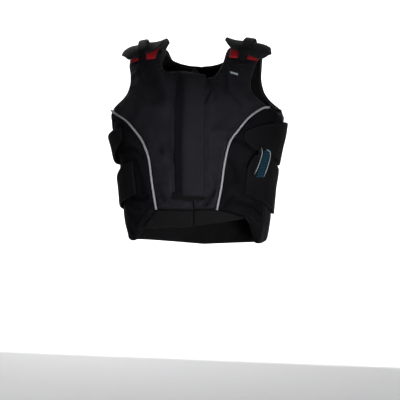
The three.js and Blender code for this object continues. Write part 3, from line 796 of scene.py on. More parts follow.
# A thin closed layer over the body, with its edges rounded
def slab(name, place, over, under, sizes, material, back=None, paintedShade=None):
    sheet = makeSheet(place, sizes["step"], crowd=sizes["crowd"])
    rounding = sizes["rounding"]  # how far in from the edge, and how low above and below
    fall = fallOf(sheet["edge"] / rounding[0])
    top, bottom = [lift(sheet) if callable(lift) else lift for lift in (over, under)]
    top, bottom = top - rounding[1] * fall, bottom + rounding[2] * fall
    outer = sheet["points"] + sheet["normals"] * top[..., None]
    inner = sheet["points"] + sheet["normals"] * bottom[..., None]
    faces, which, border = closedFaces(*outer.shape[:2])
    verts = closedVerts(outer, inner, border, bulge=0.0003)
    rub = np.clip(1 - sheet["edge"] / 0.006, 0, 1).ravel()
    ring = np.ones(len(border))
    materials = [material, back] if back else [material]
    which = [int(kind == 1 and back is not None) for kind in which]
    item = meshObject(name, verts, faces, materials, which, np.concatenate([rub, rub * 0, ring]))
    # Painted shade and highlight: given values go to the fold mark, which darkens the colour where below zero
    # and pales it where above
    if paintedShade is not None:
        addValues(item.data, "fold", np.concatenate([paintedShade(sheet).ravel(), rub * 0, ring * 0]))
    finer(item)
    return item


# Stitches and tapes
tapes = {"reach": 0.008, "thickness": 0.0009, "top": -0.0066, "bottom": -0.017, "samples": 120}


def gridFaces(rows, columns):
    return [
        (i * columns + j, i * columns + j + 1, (i + 1) * columns + j + 1, (i + 1) * columns + j)
        for i in range(rows - 1) for j in range(columns - 1)
    ]


def resample(points, pitch, start=0.5):
    steps = np.linalg.norm(np.diff(points, axis=0), axis=-1)
    along = np.concatenate([[0], np.cumsum(steps)])
    count = int(along[-1] / pitch)
    if count < 1:
        return np.zeros((0, points.shape[1]))
    at = (np.arange(count) + start) * (along[-1] / count)
    return np.stack([np.interp(at, along, points[:, k]) for k in range(points.shape[1])], -1)


# Short raised stitches along lines of places: each path is points with their normals
def stitches(paths, pitch=0.0034, length=0.0025, radius=0.00028, material="thread"):
    verts, faces = [], []
    rings = [(-0.5, 0.25), (-0.3, 0.9), (0.3, 0.9), (0.5, 0.25)]
    for points, normals in paths:
        line = resample(np.concatenate([points, normals], -1), pitch)
        if len(line) < 3:
            continue
        centre, up = line[:, :3], unit(line[:, 3:])
        along = unit(np.gradient(centre, axis=0))
        aside = unit(np.cross(along, up))
        for c, u, d, b in zip(centre, up, along, aside):
            first = len(verts)
            for shift, share in rings:
                for turn in range(4):
                    wide = math.cos(math.pi / 2 * turn) * radius * share
                    tall = math.sin(math.pi / 2 * turn) * radius * share
                    verts.append(c + d * (shift * length) + b * wide + u * tall)
            for ring in range(3):
                for k in range(4):
                    a = first + ring * 4
                    faces.append((a + k, a + (k + 1) % 4, a + 4 + (k + 1) % 4, a + 4 + k))
            faces.append((first + 3, first + 2, first + 1, first))
            faces.append((first + 12, first + 13, first + 14, first + 15))
    return meshObject("stitches", verts, faces, [material])


# Places along one edge of a layer, and the layer's size across from it there
def borderShares(place, kind, low, high, count):
    u = np.linspace(low, high, count)
    along, probe = np.meshgrid(u, np.linspace(0, 1, 25), indexing="ij")
    rows = lifted(place(probe, along) if kind in ("start", "end") else place(along, probe), 0)
    return u, np.maximum(np.linalg.norm(np.diff(rows, axis=1), axis=-1).sum(1), 1e-6)


# A line at a distance in from one edge of a layer: points and normals
def borderPath(place, kind, inset, low, high, lift, count=120, shares=None):
    u, width = shares or borderShares(place, kind, low, high, count)
    share = inset / width
    if kind in ("end", "top"):
        share = 1 - share
    s, t = (share, u) if kind in ("start", "end") else (u, share)
    where = place(s, t)
    height = lift(s, t) if callable(lift) else lift
    return lifted(where, height), skinNormal(*where)


# A binding folded over one edge of a pad, from its outer side to its inner side
def tape(place, kind, low, high):
    reach, thick, top, bottom = [tapes[key] for key in ("reach", "thickness", "top", "bottom")]
    profile = [  # distance in from the edge, height, wear
        (reach, top, 0.2), (reach - 0.0005, top + thick, 0.4), (reach * 0.55, top + thick * 1.1, 0.5),
        (0.0018, top + thick, 0.9), (-thick * 0.4, top - 0.0012, 1), (-thick, (top + bottom) / 2, 1),
        (-thick * 0.4, bottom + 0.0012, 1), (0.0018, bottom - thick, 0.9),
        (reach * 0.55, bottom - thick * 1.1, 0.5), (reach - 0.0005, bottom - thick, 0.4),
        (reach, bottom, 0.2),
    ]
    shares = borderShares(place, kind, low, high, tapes["samples"])
    rows = [borderPath(place, kind, inset, low, high, lift, shares=shares)[0] for inset, lift, _ in profile]
    grid = np.stack(rows, 1)
    count, wide = grid.shape[:2]
    faces = gridFaces(count, wide)
    for end in (0, count - 1):
        ring = [end * wide + j for j in range(wide - 1)]
        faces.append(ring if end else ring[::-1])
    rub = np.tile([wear for _, _, wear in profile], count)
    return meshObject("binding", grid.reshape(-1, 3), faces, ["bindingTape"], None, rub)


# Soft relief of the panels
# Lines in the photograph's frame, width in mm and depth: below zero is a valley
creases = [
    ([(206, 79), (211, 88), (208, 94), (205, 101)], 3.2, -2.0),
    ([(201, 83), (205, 90), (202, 99)], 4.0, 0.9),
    ([(214, 86), (215, 99)], 3.0, -0.9),
    ([(225, 70), (226, 78), (225, 92)], 2.6, -1.0),
    ([(229, 70), (231, 90)], 3.5, 0.7),
    ([(151, 72), (152, 84), (155, 97)], 12.0, -1.5),
    ([(160, 72), (163, 82), (167, 92)], 4.0, 1.1),
    ([(139, 70), (146, 84), (158, 92)], 5.0, -0.9),
    ([(203, 78), (203, 92), (201, 106)], 7.0, -0.9),
    ([(171, 199), (180, 199.5), (190, 199.5), (203, 198.5)], 3.4, -2.6),
    ([(199, 214), (206, 203), (214, 191)], 3.6, -2.2),
    ([(206, 213), (213, 203), (219, 196)], 4.5, 1.6),
    ([(172, 100), (168, 130), (171, 160)], 8.0, -0.6),
    ([(160, 150), (176, 158), (182, 170)], 7.0, -0.7),
    ([(157, 196), (168, 203), (176, 209)], 5.0, -0.8),
    ([(206, 168), (214, 176), (216, 186)], 6.0, -0.7),
    ([(232, 112), (224, 122), (214, 128)], 7.0, -0.6),
    ([(225, 88), (235, 96), (243, 104)], 6.0, -0.6),
    ([(134, 88), (143, 97), (152, 100)], 6.0, -0.6),
    ([(232, 152), (240, 153), (246, 160)], 15.0, 1.6),
    ([(229, 139), (240, 141), (249, 146), (257, 152)], 3.4, -1.8),
    ([(229, 160), (236, 168), (238, 180)], 6.0, -1.0),
    ([(222, 212), (227, 204), (233, 198)], 3.0, -1.8),
    ([(225, 194), (232, 190), (238, 194)], 4.0, 1.2),
    ([(238, 203), (252, 206), (264, 215)], 4.5, -1.2),
    ([(236, 213), (250, 218), (262, 228)], 6.0, 1.0),
    ([(112, 118), (122, 126), (134, 130)], 5.0, -1.2),
    ([(114, 131), (124, 139), (137, 146)], 5.0, 1.0),
    ([(121, 150), (130, 148), (142, 158)], 4.0, -1.2),
    ([(130, 195), (139, 199), (147, 197)], 3.5, -1.8),
    ([(129, 206), (138, 211), (150, 214)], 5.0, 1.0),
    ([(134, 160), (140, 178), (141, 194)], 4.0, -0.8),
]
ridges = [
    # x and width in metres, height, lowest and highest station: rolls of padding up the chest
    (-0.036, 0.012, 0.0008, -0.76, 0.36),
    (0.046, 0.009, 0.0009, -0.7, 0.3),
]
softness = {
    "ripple": 0.0007,
    "pucker": 0.00035,
    "puckerPitch": 0.011,
    "crease": 0.0026,  # metres for a depth of 1 in the table above
    "pixel": 2.07,  # mm across a pixel at the chest
    "free": 0.0045,  # the most that relief moves the cloth, softly
    # toned: the relief at which the fold mark's painted shade and painted highlight reach full strength
    "toned": 0.0022,  # relief that darkens or pales the cloth fully
}


# Soft bumps of about a size in metres, the same at every run
def waves(points, size, seed, count=7):
    chance = np.random.default_rng(seed)
    total = np.zeros(points.shape[:-1])
    for k in range(count):
        direction = chance.normal(size=3)
        direction /= np.linalg.norm(direction)
        rate = 2 * math.pi / (size * chance.uniform(0.7, 1.5))
        total += np.sin(points @ direction * rate + chance.uniform(0, 6.28))
    return total / math.sqrt(count)


def creaseRelief(points, normals):
    pixels = photoPoints(points).reshape(-1, 2)
    facing = (unit(np.array(view["place"]) - points) * normals).sum(-1).ravel()
    seen = np.clip(facing / 0.3, 0, 1)
    relief = np.zeros(len(pixels))
    for line, width, depth in creases:
        dense = np.stack([
            smooth(range(len(line)), [p[k] for p in line], np.linspace(0, len(line) - 1, 16)) for k in (0, 1)
        ], -1)
        away = lineDistance(pixels, dense) * softness["pixel"] / width
        relief += depth * softness["crease"] * np.exp(-away**2)
    return (relief * seen).reshape(points.shape[:-1])


def ridgeRelief(angle, station):
    x = halfWidthAt(station) * np.sin(np.radians(angle))
    total = np.zeros_like(x)
    for at, width, height, low, high in ridges:
        reach = smoothStep(low - 0.06, low + 0.06, station) * smoothStep(high + 0.06, high - 0.06, station)
        wander = 0.002 * np.sin(station * 7 + at * 90)
        total += height * np.exp(-(((x - at - wander) / width) ** 2)) * reach
    return total * (np.abs(angle) < 90)


def smoothStep(low, high, x):
    u = np.clip((x - low) / (high - low), 0, 1)
    return u * u * (3 - 2 * u)


# 1 where another piece lies on the padding, 0 where it is free, with a soft edge
def coverOf(angle, station):
    side = np.where(angle >= 0, 1, -1)
    size = np.abs(angle)
    x = halfWidthAt(station) * np.sin(np.radians(angle))
    front = (size < 90) & (station < 1)
    cover = front * smoothStep(0.041, 0.034, np.abs(x - 0.0065)) * smoothStep(0.42, 0.39, station) \
        * smoothStep(-0.8, -0.76, station)
    zip = front * smoothStep(0.02, 0.014, np.abs(x - 0.012)) * smoothStep(0.5, 0.47, station)
    cover = np.maximum(cover, zip)
    for tables in (upperTabs, lowerTabs):
        for which in bothSides.values():
            rows = tables[which]
            angles = [r[0] for r in rows]
            top = smooth(angles, [r[1] for r in rows], size)
            bottom = smooth(angles, [r[2] for r in rows], size)
            inside = smoothStep(angles[0] - 4, angles[0] - 1, size)
            inside = inside * smoothStep(angles[-1] + 4, angles[-1] + 1, size)
            inside = inside * smoothStep(top + 0.035, top + 0.012, station)
            inside = inside * smoothStep(bottom - 0.035, bottom - 0.012, station)
            cover = np.maximum(cover, np.where(side == which, inside, 0))
    shoulders = smoothStep(0.46, 0.5, station) * smoothStep(1.42, 1.38, station)
    return np.maximum(cover, shoulders * (np.abs(x) > 0.055))


pads = {
    "step": 0.0074,
    "thickness": 0.02,
    "sink": 0.0026,
    "roundOver": 0.012,
    "outerRound": 0.005,
    "innerRound": 0.003,
    "held": 0.003,  # the cloth within this of the border stays still
    "wear": 0.01,
    "cap": 0.005,
    "pressure": 4.0,
    "frames": 20,
    "quality": 4,
    "weight": 0.25,
    "stretch": 14,
    "shear": 6,
    "bend": 0.6,
    "ease": -0.025,
}


# Cloth simulation: the pad's cloth fills out between its seams, which hold still
def swell(item, pinned):
    group = item.vertex_groups.new(name="seams")
    group.add([int(k) for k in np.nonzero(pinned)[0]], 1.0, "REPLACE")
    modifier = item.modifiers.new("cloth", "CLOTH")
    settings = modifier.settings
    settings.quality = pads["quality"]
    settings.mass = pads["weight"]
    settings.tension_stiffness = settings.compression_stiffness = pads["stretch"]
    settings.shear_stiffness = pads["shear"]
    settings.bending_stiffness = pads["bend"]
    settings.shrink_min = pads["ease"]
    settings.vertex_group_mass = "seams"
    settings.use_pressure = True
    settings.uniform_pressure_force = pads["pressure"]
    settings.effector_weights.gravity = 0
    modifier.collision_settings.use_collision = False
    modifier.point_cache.frame_start = 1
    modifier.point_cache.frame_end = pads["frames"]
    for number in range(1, pads["frames"] + 1):
        scene.frame_set(number)
    evaluated = item.evaluated_get(bpy.context.evaluated_depsgraph_get())
    found = vectorsOf(evaluated.data, "co")
    item.modifiers.clear()
    item.vertex_groups.clear()
    scene.frame_set(1)
    return found


# One unswollen half of a pad: its mesh, and what each of its vertices is
def padHalf(sheet, offset, joined):
    rows, columns = sheet["s"].shape
    count = rows * columns
    fall = fallOf(sheet["edge"] / pads["roundOver"])
    high = -pads["sink"] - pads["outerRound"] * fall
    low = -pads["thickness"] + pads["innerRound"] * fall
    outer, inner = [sheet["points"] + sheet["normals"] * lift[..., None] for lift in (high, low)]
    faces, kinds, border = closedFaces(rows, columns, offset, joined, wall=2)
    turn = np.cross(np.gradient(outer, axis=1), np.gradient(outer, axis=0))
    if (turn * sheet["normals"]).sum() < 0:
        faces = [face[::-1] for face in faces]
    verts = closedVerts(outer, inner, border, wall=2, bulge=0.0012)
    wall = len(verts) - 2 * count
    edge = sheet["edge"].ravel()

    def layers(onOuter, onInner, onWall):
        return np.concatenate([np.ravel(onOuter), np.ravel(onInner), np.full(wall, onWall)])

    held = edge < pads["held"]
    return faces, kinds, {
        "verts": verts,
        "base": np.concatenate([sheet["points"].reshape(-1, 3)] * 2 + [verts[2 * count:]]),
        "normal": np.concatenate([sheet["normals"].reshape(-1, 3)] * 2 + [np.zeros((wall, 3))]),
        "lift": layers(high, low, 0.0),
        "held": layers(held, held, True),
        "outside": layers(edge > -1, edge < -1, False),
        "rub": layers(np.clip(1 - edge / pads["wear"], 0, 1), 0 * edge, 1.0),
        **{key: layers(sheet[key], sheet[key], 0.0) for key in ("angle", "station", "edge")},
    }


# A padded panel of one grid, or of two that share their first columns up to a share
def pad(name, halves, seed, materials=("panelNylon", "lining"), openShare=0.0, relief=None, levels=2):
    sheets = [makeSheet(place, pads["step"], joinTo=openShare) for place in halves]
    faces, kinds, parts, shared = [], [], [], {}
    offset = 0
    for sheet in sheets:
        columns, count = sheet["s"].shape[1], sheet["s"].size
        joined = int(np.searchsorted(sheet["t"][:, 0], openShare - 1e-9)) if openShare else 0
        made, which, part = padHalf(sheet, offset, joined)
        if parts:
            firstColumns, firstCount = sheets[0]["s"].shape[1], sheets[0]["s"].size
            for i in range(joined + 1):
                shared[offset + i * columns] = i * firstColumns
                shared[offset + count + i * columns] = firstCount + i * firstColumns
        faces, kinds, parts = faces + made, kinds + which, [*parts, part]
        offset += len(part["verts"])
    whole = {key: np.concatenate([part[key] for part in parts]) for key in parts[0]}
    whole["held"][list(shared)] = True
    verts, normal, outside = whole["verts"], whole["normal"], whole["outside"]
    faces = [[shared.get(k, k) for k in face] for face in faces]
    item = meshObject(name, verts, faces, materials, [int(kind == 1) for kind in kinds], whole["rub"])
    moved = np.zeros_like(verts)
    away = swell(item, whole["held"]) - verts
    size = np.maximum(np.linalg.norm(away, axis=-1, keepdims=True), 1e-9)
    moved = away / size * pads["cap"] * np.tanh(size / pads["cap"])
    rise = (moved * normal).sum(-1)
    slide = (moved - normal * rise[:, None]) * 0.4
    flat = np.abs(normal).sum(-1) > 0
    slide[~flat] = 0
    # Other pieces lie on the pad, so its outer side stays low where one covers it
    lift = whole["lift"]
    total = np.where(outside, lift + rise, lift + np.clip(rise, -0.004, 0.002))
    cover = coverOf(whole["angle"], whole["station"])
    ceiling = -0.0003 + 0.0008 * (1 - cover) - pads["outerRound"] * fallOf(whole["edge"] / pads["roundOver"])
    total = np.where(outside, np.minimum(total, ceiling), total)
    sideways = np.where(outside[:, None], slide, slide * 0.5)
    verts[flat] = (whole["base"] + normal * total[:, None] + sideways)[flat]
    for double, first in shared.items():
        verts[double] = verts[first]
    item.data.vertices.foreach_set("co", verts.astype(np.float32).ravel())
    turn = np.radians(whole["angle"])
    marks = {"sine": np.sin(turn), "cosine": np.cos(turn), "outer": outside}
    for key, values in {**marks, "station": whole["station"], "edge": whole["edge"]}.items():
        addValues(item.data, key, values)
    removeLoose(item, shared)
    finer(item, levels)
    sculpt(item, seed, relief)
    return item


# Folds, puckers and sewn lines, moved into the outer side of the finished pad, and also painted into its
# colour: shade in the valleys, highlight on the ridges
def sculpt(item, seed, relief):
    mesh = item.data
    marks = {}
    for key in ("sine", "cosine", "station", "edge", "outer"):
        marks[key] = valuesOf(mesh, key)
        mesh.attributes.remove(mesh.attributes[key])
    angle = np.degrees(np.arctan2(marks["sine"], marks["cosine"])).astype(float)
    station, edge = marks["station"].astype(float), marks["edge"].astype(float)
    points, normals = vectorsOf(mesh, "co"), vectorsOf(mesh, "normal")
    inner = smoothStep(0.002, 0.014, edge)
    soft = softness["ripple"] * waves(points, 0.05, seed) * inner
    seam = np.exp(-(((edge - 0.008) / 0.007) ** 2))
    soft = soft + softness["pucker"] * seam * waves(points, softness["puckerPitch"], seed + 50)
    soft = soft + creaseRelief(points, normals) * smoothStep(0.001, 0.007, edge) + ridgeRelief(angle, station)
    if relief is not None:
        soft = soft + relief(angle, station) * inner
    soft = np.where(soft > 0, soft * (1 - coverOf(angle, station)), soft)
    outer = smoothStep(0.6, 0.95, marks["outer"])
    # Painted shade and highlight: the relief is kept as the fold mark, which darkens the cloth's colour in
    # valleys and pales it on ridges
    addValues(mesh, "fold", np.tanh(soft / softness["toned"]) * outer * 0.8)
    soft = softness["free"] * np.tanh(soft / softness["free"]) * outer
    mesh.vertices.foreach_set("co", (points + normals * soft[:, None]).astype(np.float32).ravel())
    mesh.update()


def removeLoose(item, loose):
    if not loose:
        return
    grid = bmesh.new()
    grid.from_mesh(item.data)
    grid.verts.ensure_lookup_table()
    bmesh.ops.delete(grid, geom=[grid.verts[k] for k in sorted(loose)], context="VERTS")
    grid.to_mesh(item.data)
    grid.free()
    item.data.shade_smooth()


def placed(item, node):
    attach(item, "root")
    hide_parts(node)


# Rows of stitches in from the edges of a layer: edge, start, end, and samples if not the usual
def sewn(place, inset, lift, rows):
    return stitches([borderPath(place, row[0], inset, row[1], row[2], lift, *row[3:]) for row in rows])


def frontPanels():
    for name, side in bothSides.items():
        place = frontPlace(side)
        item = pad(f"frontPanel_{name}", [place], 11 if side == 1 else 12)
        corner = cornerRow / lastFront
        neckStart = (cornerRow + 0.75) / lastFront
        tapes = [
            tape(place, "end", corner + 0.004, 0.985),
            tape(place, "start", neckStart, 0.985),
        ]
        lines = [
            borderPath(place, "end", 0.0065, corner + 0.01, 0.8, -0.0051),
            borderPath(place, "start", 0.0065, neckStart, 0.8, -0.0051),
            borderPath(place, "end", 0.0105, 0.012, corner - 0.01, -0.0025),
        ]
        join(item, [*tapes, stitches(lines)])
        placed(item, f"front_panel_{name}")


webs = {"step": 0.004, "crowd": 0.2, "rounding": (0.0003, 0.0002, 0.0002)}


def sidePanels():
    for name, side in bothSides.items():
        place = sidePlace(side)
        # The side panels take the darker copy of the panels' nylon, as painted shade
        item = pad(f"sidePanel_{name}", [place], 21 if side == 1 else 22, ("sideNylonShaded", "lining"))
        tapes = [
            tape(place, "top", 0.02, 0.98),
            tape(place, "end", 0.012, 0.985),
        ]
        lines = [
            borderPath(place, "start", 0.0105, 0.012, 0.97, -0.0025),
            borderPath(place, "end", 0.0065, 0.02, 0.97, -0.0051),
        ]

        def webPlace(s, t, place=place, side=side):
            # an elastic strip that closes the gap to the back panel
            angle, station = place(np.ones_like(t), mix(0.015, 0.97, t))
            degree = stepsAt(np.abs(angle), station)[0]
            return angle + side * (0.001 + 0.001 * s) / degree, station

        web = slab("web", webPlace, -0.006, -0.013, webs, "webbing")
        join(item, [*tapes, web, stitches(lines)])
        placed(item, f"side_panel_{name}")


# Sewn channels of the back: distance from the centre line in metres, and station
backChannels = {"aside": [0.0, 0.062], "across": [0.12], "width": 0.0045, "depth": 0.0022}


def backRelief(angle, station):
    x = halfWidthAt(station) * np.sin(np.radians(angle))
    values = backChannels
    total = np.zeros_like(x)
    for aside in values["aside"]:
        below = smoothStep(values["across"][0] + 0.02, values["across"][0] - 0.03, station)
        total -= values["depth"] * np.exp(-(((np.abs(x) - aside) / values["width"]) ** 2)) * below
    for up in values["across"]:
        away = (station - up) * 0.2
        total -= values["depth"] * np.exp(-((away / values["width"]) ** 2))
    return total


def backPanel():
    places = [backPlace(1), backPlace(-1)]
    joinTo = 8 / (len(backSections) - 1)
    item = pad("backPanel", places, 31, openShare=joinTo, relief=backRelief, levels=1)
    extras = []
    lines = []
    for place in places:
        sideEnd = 5 / 12
        extras.append(tape(place, "end", sideEnd + 0.01, 0.985))
        extras.append(tape(place, "end", 0.012, sideEnd - 0.005))
        extras.append(tape(place, "start", joinTo + 0.01, 0.985))
        extras.append(tape(place, "bottom", 0.002, 0.97))
        lines.append(borderPath(place, "end", 0.0065, 0.02, 0.9, -0.0051))
        lines.append(borderPath(place, "start", 0.0065, joinTo + 0.02, 0.9, -0.0051))
        lines.append(borderPath(place, "bottom", 0.0065, 0.01, 0.96, -0.0051))
    join(item, [*extras, stitches(lines)])
    placed(item, "back_panel")


pipes = {"radius": 0.0022, "sink": 0.0012, "reach": 0.975, "rings": 150, "sides": 10}


# Corded piping in the seam between front and side panel, with its pulled-in cover
def pipings():
    for name, side in bothSides.items():
        u = np.linspace(0, pipes["reach"], pipes["rings"])
        angle, station = seamPlace(side, u)
        centre = lifted((side * angle, station), -pipes["sink"])
        up = skinNormal(side * angle, station)
        along = unit(np.gradient(centre, axis=0))
        aside = unit(np.cross(along, up))
        up = np.cross(aside, along)
        span = np.concatenate([[0], np.cumsum(np.linalg.norm(np.diff(centre, axis=0), axis=-1))])
        twist = 1 + 0.035 * np.sin(span * 2 * math.pi / 0.009) * np.sin(span * 2 * math.pi / 0.041)
        verts, faces = [], []
        sides = pipes["sides"]
        for k in range(sides):
            turn = 2 * math.pi * k / sides
            radius = pipes["radius"] * twist[:, None]
            verts.append(centre + radius * (aside * math.cos(turn) + up * math.sin(turn)))
        verts = np.stack(verts, 1).reshape(-1, 3)
        for i in range(pipes["rings"] - 1):
            for k in range(sides):
                after = (k + 1) % sides
                faces.append((i * sides + k, i * sides + after, (i + 1) * sides + after, (i + 1) * sides + k))
        faces.append(tuple(range(sides))[::-1])
        faces.append(tuple((pipes["rings"] - 1) * sides + k for k in range(sides)))
        item = meshObject(f"seamPiping_{name}", verts, faces, ["palePiping"], None, np.full(len(verts), 0.5))
        placed(item, f"piping_{name}")


hem = {
    "sink": 0.002, "thickness": 0.012, "clear": 0.0016, "opening": 0.012, "shift": 0.001, "roll": 0.0012,
    "ripple": 0.0005, "stitch": 0.006, "step": 0.004, "crowd": 0.4, "rounding": (0.005, 0.002, 0.0015),
}


def hemBands():
    for name, side in bothSides.items():
        end, bottomIn, bottomOut = hemSections[side]
        seamAngle = seamPlace(side, 0.0)[0]
        rear = sideSections[side][0][0]
        start = angleAt(side * hem["opening"] + hem["shift"], bottomIn)

        def place(s, t):
            angle = mix(start, end, s)
            across = np.clip((angle - seamAngle) / (rear - seamAngle), 0, 1)
            top = footStation(side, across) - hem["clear"]
            return side * angle, mix(mix(bottomIn, bottomOut, s), top, t)

        def over(sheet):
            ripple = waves(sheet["points"], 0.03, 41 + side) * hem["ripple"]
            roll = hem["roll"] * np.sin(math.pi * np.clip(sheet["t"], 0, 1))
            return -hem["sink"] - 0.0014 + roll + ripple

        under = -hem["sink"] - hem["thickness"]
        item = slab(f"hemBand_{name}", place, over, under, hem, "hemCloth", back="lining")
        lines = [
            borderPath(place, "bottom", hem["stitch"], 0.02, 0.98, -hem["sink"] - 0.001),
            borderPath(place, "top", 0.0045, 0.02, 0.98, -hem["sink"] - 0.0012),
        ]
        join(item, [stitches(lines)])
        placed(item, f"hem_band_{name}")


tabs = {
    "stand": 0.0025, "flare": 0.0025, "thickness": 0.0045, "clearance": 0.0005, "stitch": 0.0045,
    "quilt": 0.0005, "step": 0.0055, "crowd": 0.55, "rounding": (0.0025, 0.0012, 0.0008),
}


# A hook-and-loop tab round the side: soft cloth with a bound and stitched edge
def sideTab(level, name, side, rows, flare):
    def place(s, t):
        return side * columnAt(rows, 0, s), mix(columnAt(rows, 2, s), columnAt(rows, 1, s), t)

    def floorOf(s, t):
        return tabs["clearance"] + (tabs["stand"] + flare * t * t) * np.sin(math.pi * s)

    def over(sheet):
        quilt = waves(sheet["points"], 0.035, 61 + side + len(level)) * tabs["quilt"]
        border = 0.0007 * np.exp(-((sheet["edge"] - tabs["stitch"]) / 0.0012) ** 2)
        top = floorOf(sheet["s"], sheet["t"]) + tabs["thickness"] - 0.0003
        return top + quilt * smoothStep(0, 0.01, sheet["edge"]) - border

    under = lambda sheet: floorOf(sheet["s"], sheet["t"])
    item = slab(f"sideTab_{level}_{name}", place, over, under, tabs, "tabCloth")
    top = lambda s, t: floorOf(s, t) + tabs["thickness"] - 0.0009
    seams = [("start", 0.1, 0.9), ("top", 0.03, 0.97, 200), ("bottom", 0.03, 0.97, 200), ("end", 0.06, 0.94)]
    join(item, [sewn(place, tabs["stitch"], top, seams)])
    placed(item, f"side_tab_{level}_{name}")


def sideTabs():
    for level, tables, flare in (("upper", upperTabs, tabs["flare"]), ("lower", lowerTabs, 0.0)):
        for name, side in bothSides.items():
            sideTab(level, name, side, tables[side], flare)


flap = {
    "middle": 0.0065, "width": 0.057, "bottom": -0.74, "top": 0.38, "lift": 0.0033, "thickness": 0.004,
    "foldTo": 0.3, "fold": 0.0046, "crown": 0.0042, "crownAt": 0.42, "tilt": 0.05, "loose": 0.003,
    "stitch": 0.005, "step": 0.0032, "crowd": 0.3, "rounding": (0.004, 0.0018, 0.0003),
}
# The strip of dark cloth that the flap's end lies on, put where the flap casts its shadow: painted shadow
shadowStrip = {
    "middle": 0.002, "width": 0.06, "below": 0.0075, "top": 0.0022, "bottom": 0.0006,
    "step": 0.003, "crowd": 0.2, "rounding": (0.0015, 0.0008, 0.0003),
}


# The flap over the zip, with the soft fold along it, painted shade along that fold, a dark strip under its
# end as painted shadow, and its topstitching
def frontFlap():
    foldTo = flap["foldTo"]

    def place(s, t):
        station = mix(flap["bottom"], flap["top"] + flap["tilt"] * (0.55 - s), t)
        return angleAt(flap["middle"] + (s - 0.5) * flap["width"], station), station

    def wander(sheet):
        return sheet["s"] + 0.02 * np.sin(sheet["t"] * 5.2 + 0.6)

    def hang(sheet):
        middle = np.sin(math.pi * np.clip(sheet["s"], 0, 1)) ** 0.5
        return flap["loose"] * smoothStep(0.09, 0.0, sheet["t"]) * middle

    def over(sheet):
        s = wander(sheet) + 0.008 * np.sin(sheet["t"] * 17)
        rise = np.clip(s / foldTo, 0, 1)
        crown = flap["crown"] * np.exp(-(((s - flap["crownAt"]) / 0.22) ** 2)) * rise
        soft = waves(sheet["points"], 0.045, 71) * 0.0003 * smoothStep(0, 0.008, sheet["edge"])
        line = 0.0008 * np.exp(-(((sheet["s"] - 0.895) / 0.018) ** 2))
        top = flap["lift"] + flap["thickness"] - flap["fold"] * (1 - rise)
        return top + crown * smoothStep(0, 0.012, sheet["edge"]) + soft - line + hang(sheet)

    def under(sheet):
        low = (flap["lift"] - 0.0006) * smoothStep(foldTo * 0.8, 0, sheet["s"])
        return flap["lift"] - low + hang(sheet) * 0.9

    # Painted shade: darkens the flap's colour along its left fold, where the slope lies in shade
    def paintedShade(sheet):
        s = wander(sheet)
        return -smoothStep(-0.02, 0.07, s) * smoothStep(foldTo + 0.03, foldTo - 0.07, s)

    item = slab("frontFlap", place, over, under, flap, "panelNylon", paintedShade=paintedShade)
    top = flap["lift"] + flap["thickness"]
    lines = [
        borderPath(place, "end", flap["stitch"], 0.01, 0.99, top - 0.0007, 200),
        borderPath(place, "bottom", flap["stitch"], 0.08, 0.92, top - 0.0006),
        borderPath(place, "bottom", flap["stitch"] + 0.018, 0.08, 0.92, top - 0.0001),
        borderPath(place, "top", flap["stitch"], 0.08, 0.92, top - 0.0006),
    ]
    middle, width = (lambda t: shadowStrip["middle"] + 0 * t), (lambda t: shadowStrip["width"] + 0 * t)
    start = flap["bottom"] - shadowStrip["below"] / (body["frontLength"] - body["armholeDrop"])
    shadowStripPlace = stripPlace(1, middle, width, start, flap["bottom"] + 0.03)
    # Painted shadow: a dark strip laid where only the flap's shadow falls
    strip = slab("flapShadowStrip", shadowStripPlace, shadowStrip["top"], shadowStrip["bottom"], shadowStrip, "lining")
    join(item, [strip, stitches(lines)])
    placed(item, "front_flap")


zipSizes = {
    "middle": 0.012, "width": 0.024, "tip": 0.002, "lift": 0.0005, "thickness": 0.0009, "bottom": -0.72,
    "top": 0.45, "narrows": 0.93, "tooth": 0.0028, "step": 0.0042, "crowd": 0.1,
    "rounding": (0.001, 0.0003, 0.0002),
}


def frontZip():
    values = zipSizes
    pointed = lambda t: np.maximum(0, (t - values["narrows"]) / (1 - values["narrows"]))
    middle = lambda t: values["middle"] - pointed(t) * values["tip"] / 2
    width = lambda t: mix(values["width"], values["tip"], pointed(t))
    place = stripPlace(1, middle, width, values["bottom"], values["top"])

    def over(sheet):
        groove = 0.0004 * np.exp(-(((np.abs(sheet["s"] - 0.5) - 0.2) / 0.03) ** 2))
        return values["lift"] + values["thickness"] - groove

    item = slab("frontZip", place, over, values["lift"], values, "webbing")
    paths = []
    for aside in (-1, 1):
        t = np.linspace(0.01, values["narrows"], 260)
        where = place(0.5 + aside * 0.045 + 0 * t, t)
        paths.append((lifted(where, values["lift"] + 0.0011), skinNormal(*where)))
    join(item, [stitches(paths, values["tooth"], 0.0019, 0.0006, "zipPlastic")])
    placed(item, "front_zip")


caps = {
    "lift": 0.003, "thickness": 0.009, "edge": 0.0052, "inset": 0.061, "reach": 0.147, "flareIn": 0.012,
    "flareOut": 0.006, "stitch": 0.0055, "step": 0.0042, "crowd": 0.5, "rounding": (0.0035, 0.0022, 0.0006),
}
# Lobes of a cap's front edge: share of its length from the neck, width there, depth
capLobes = [(0.13, 0.15, 0.05), (0.77, 0.1, 0.03)]


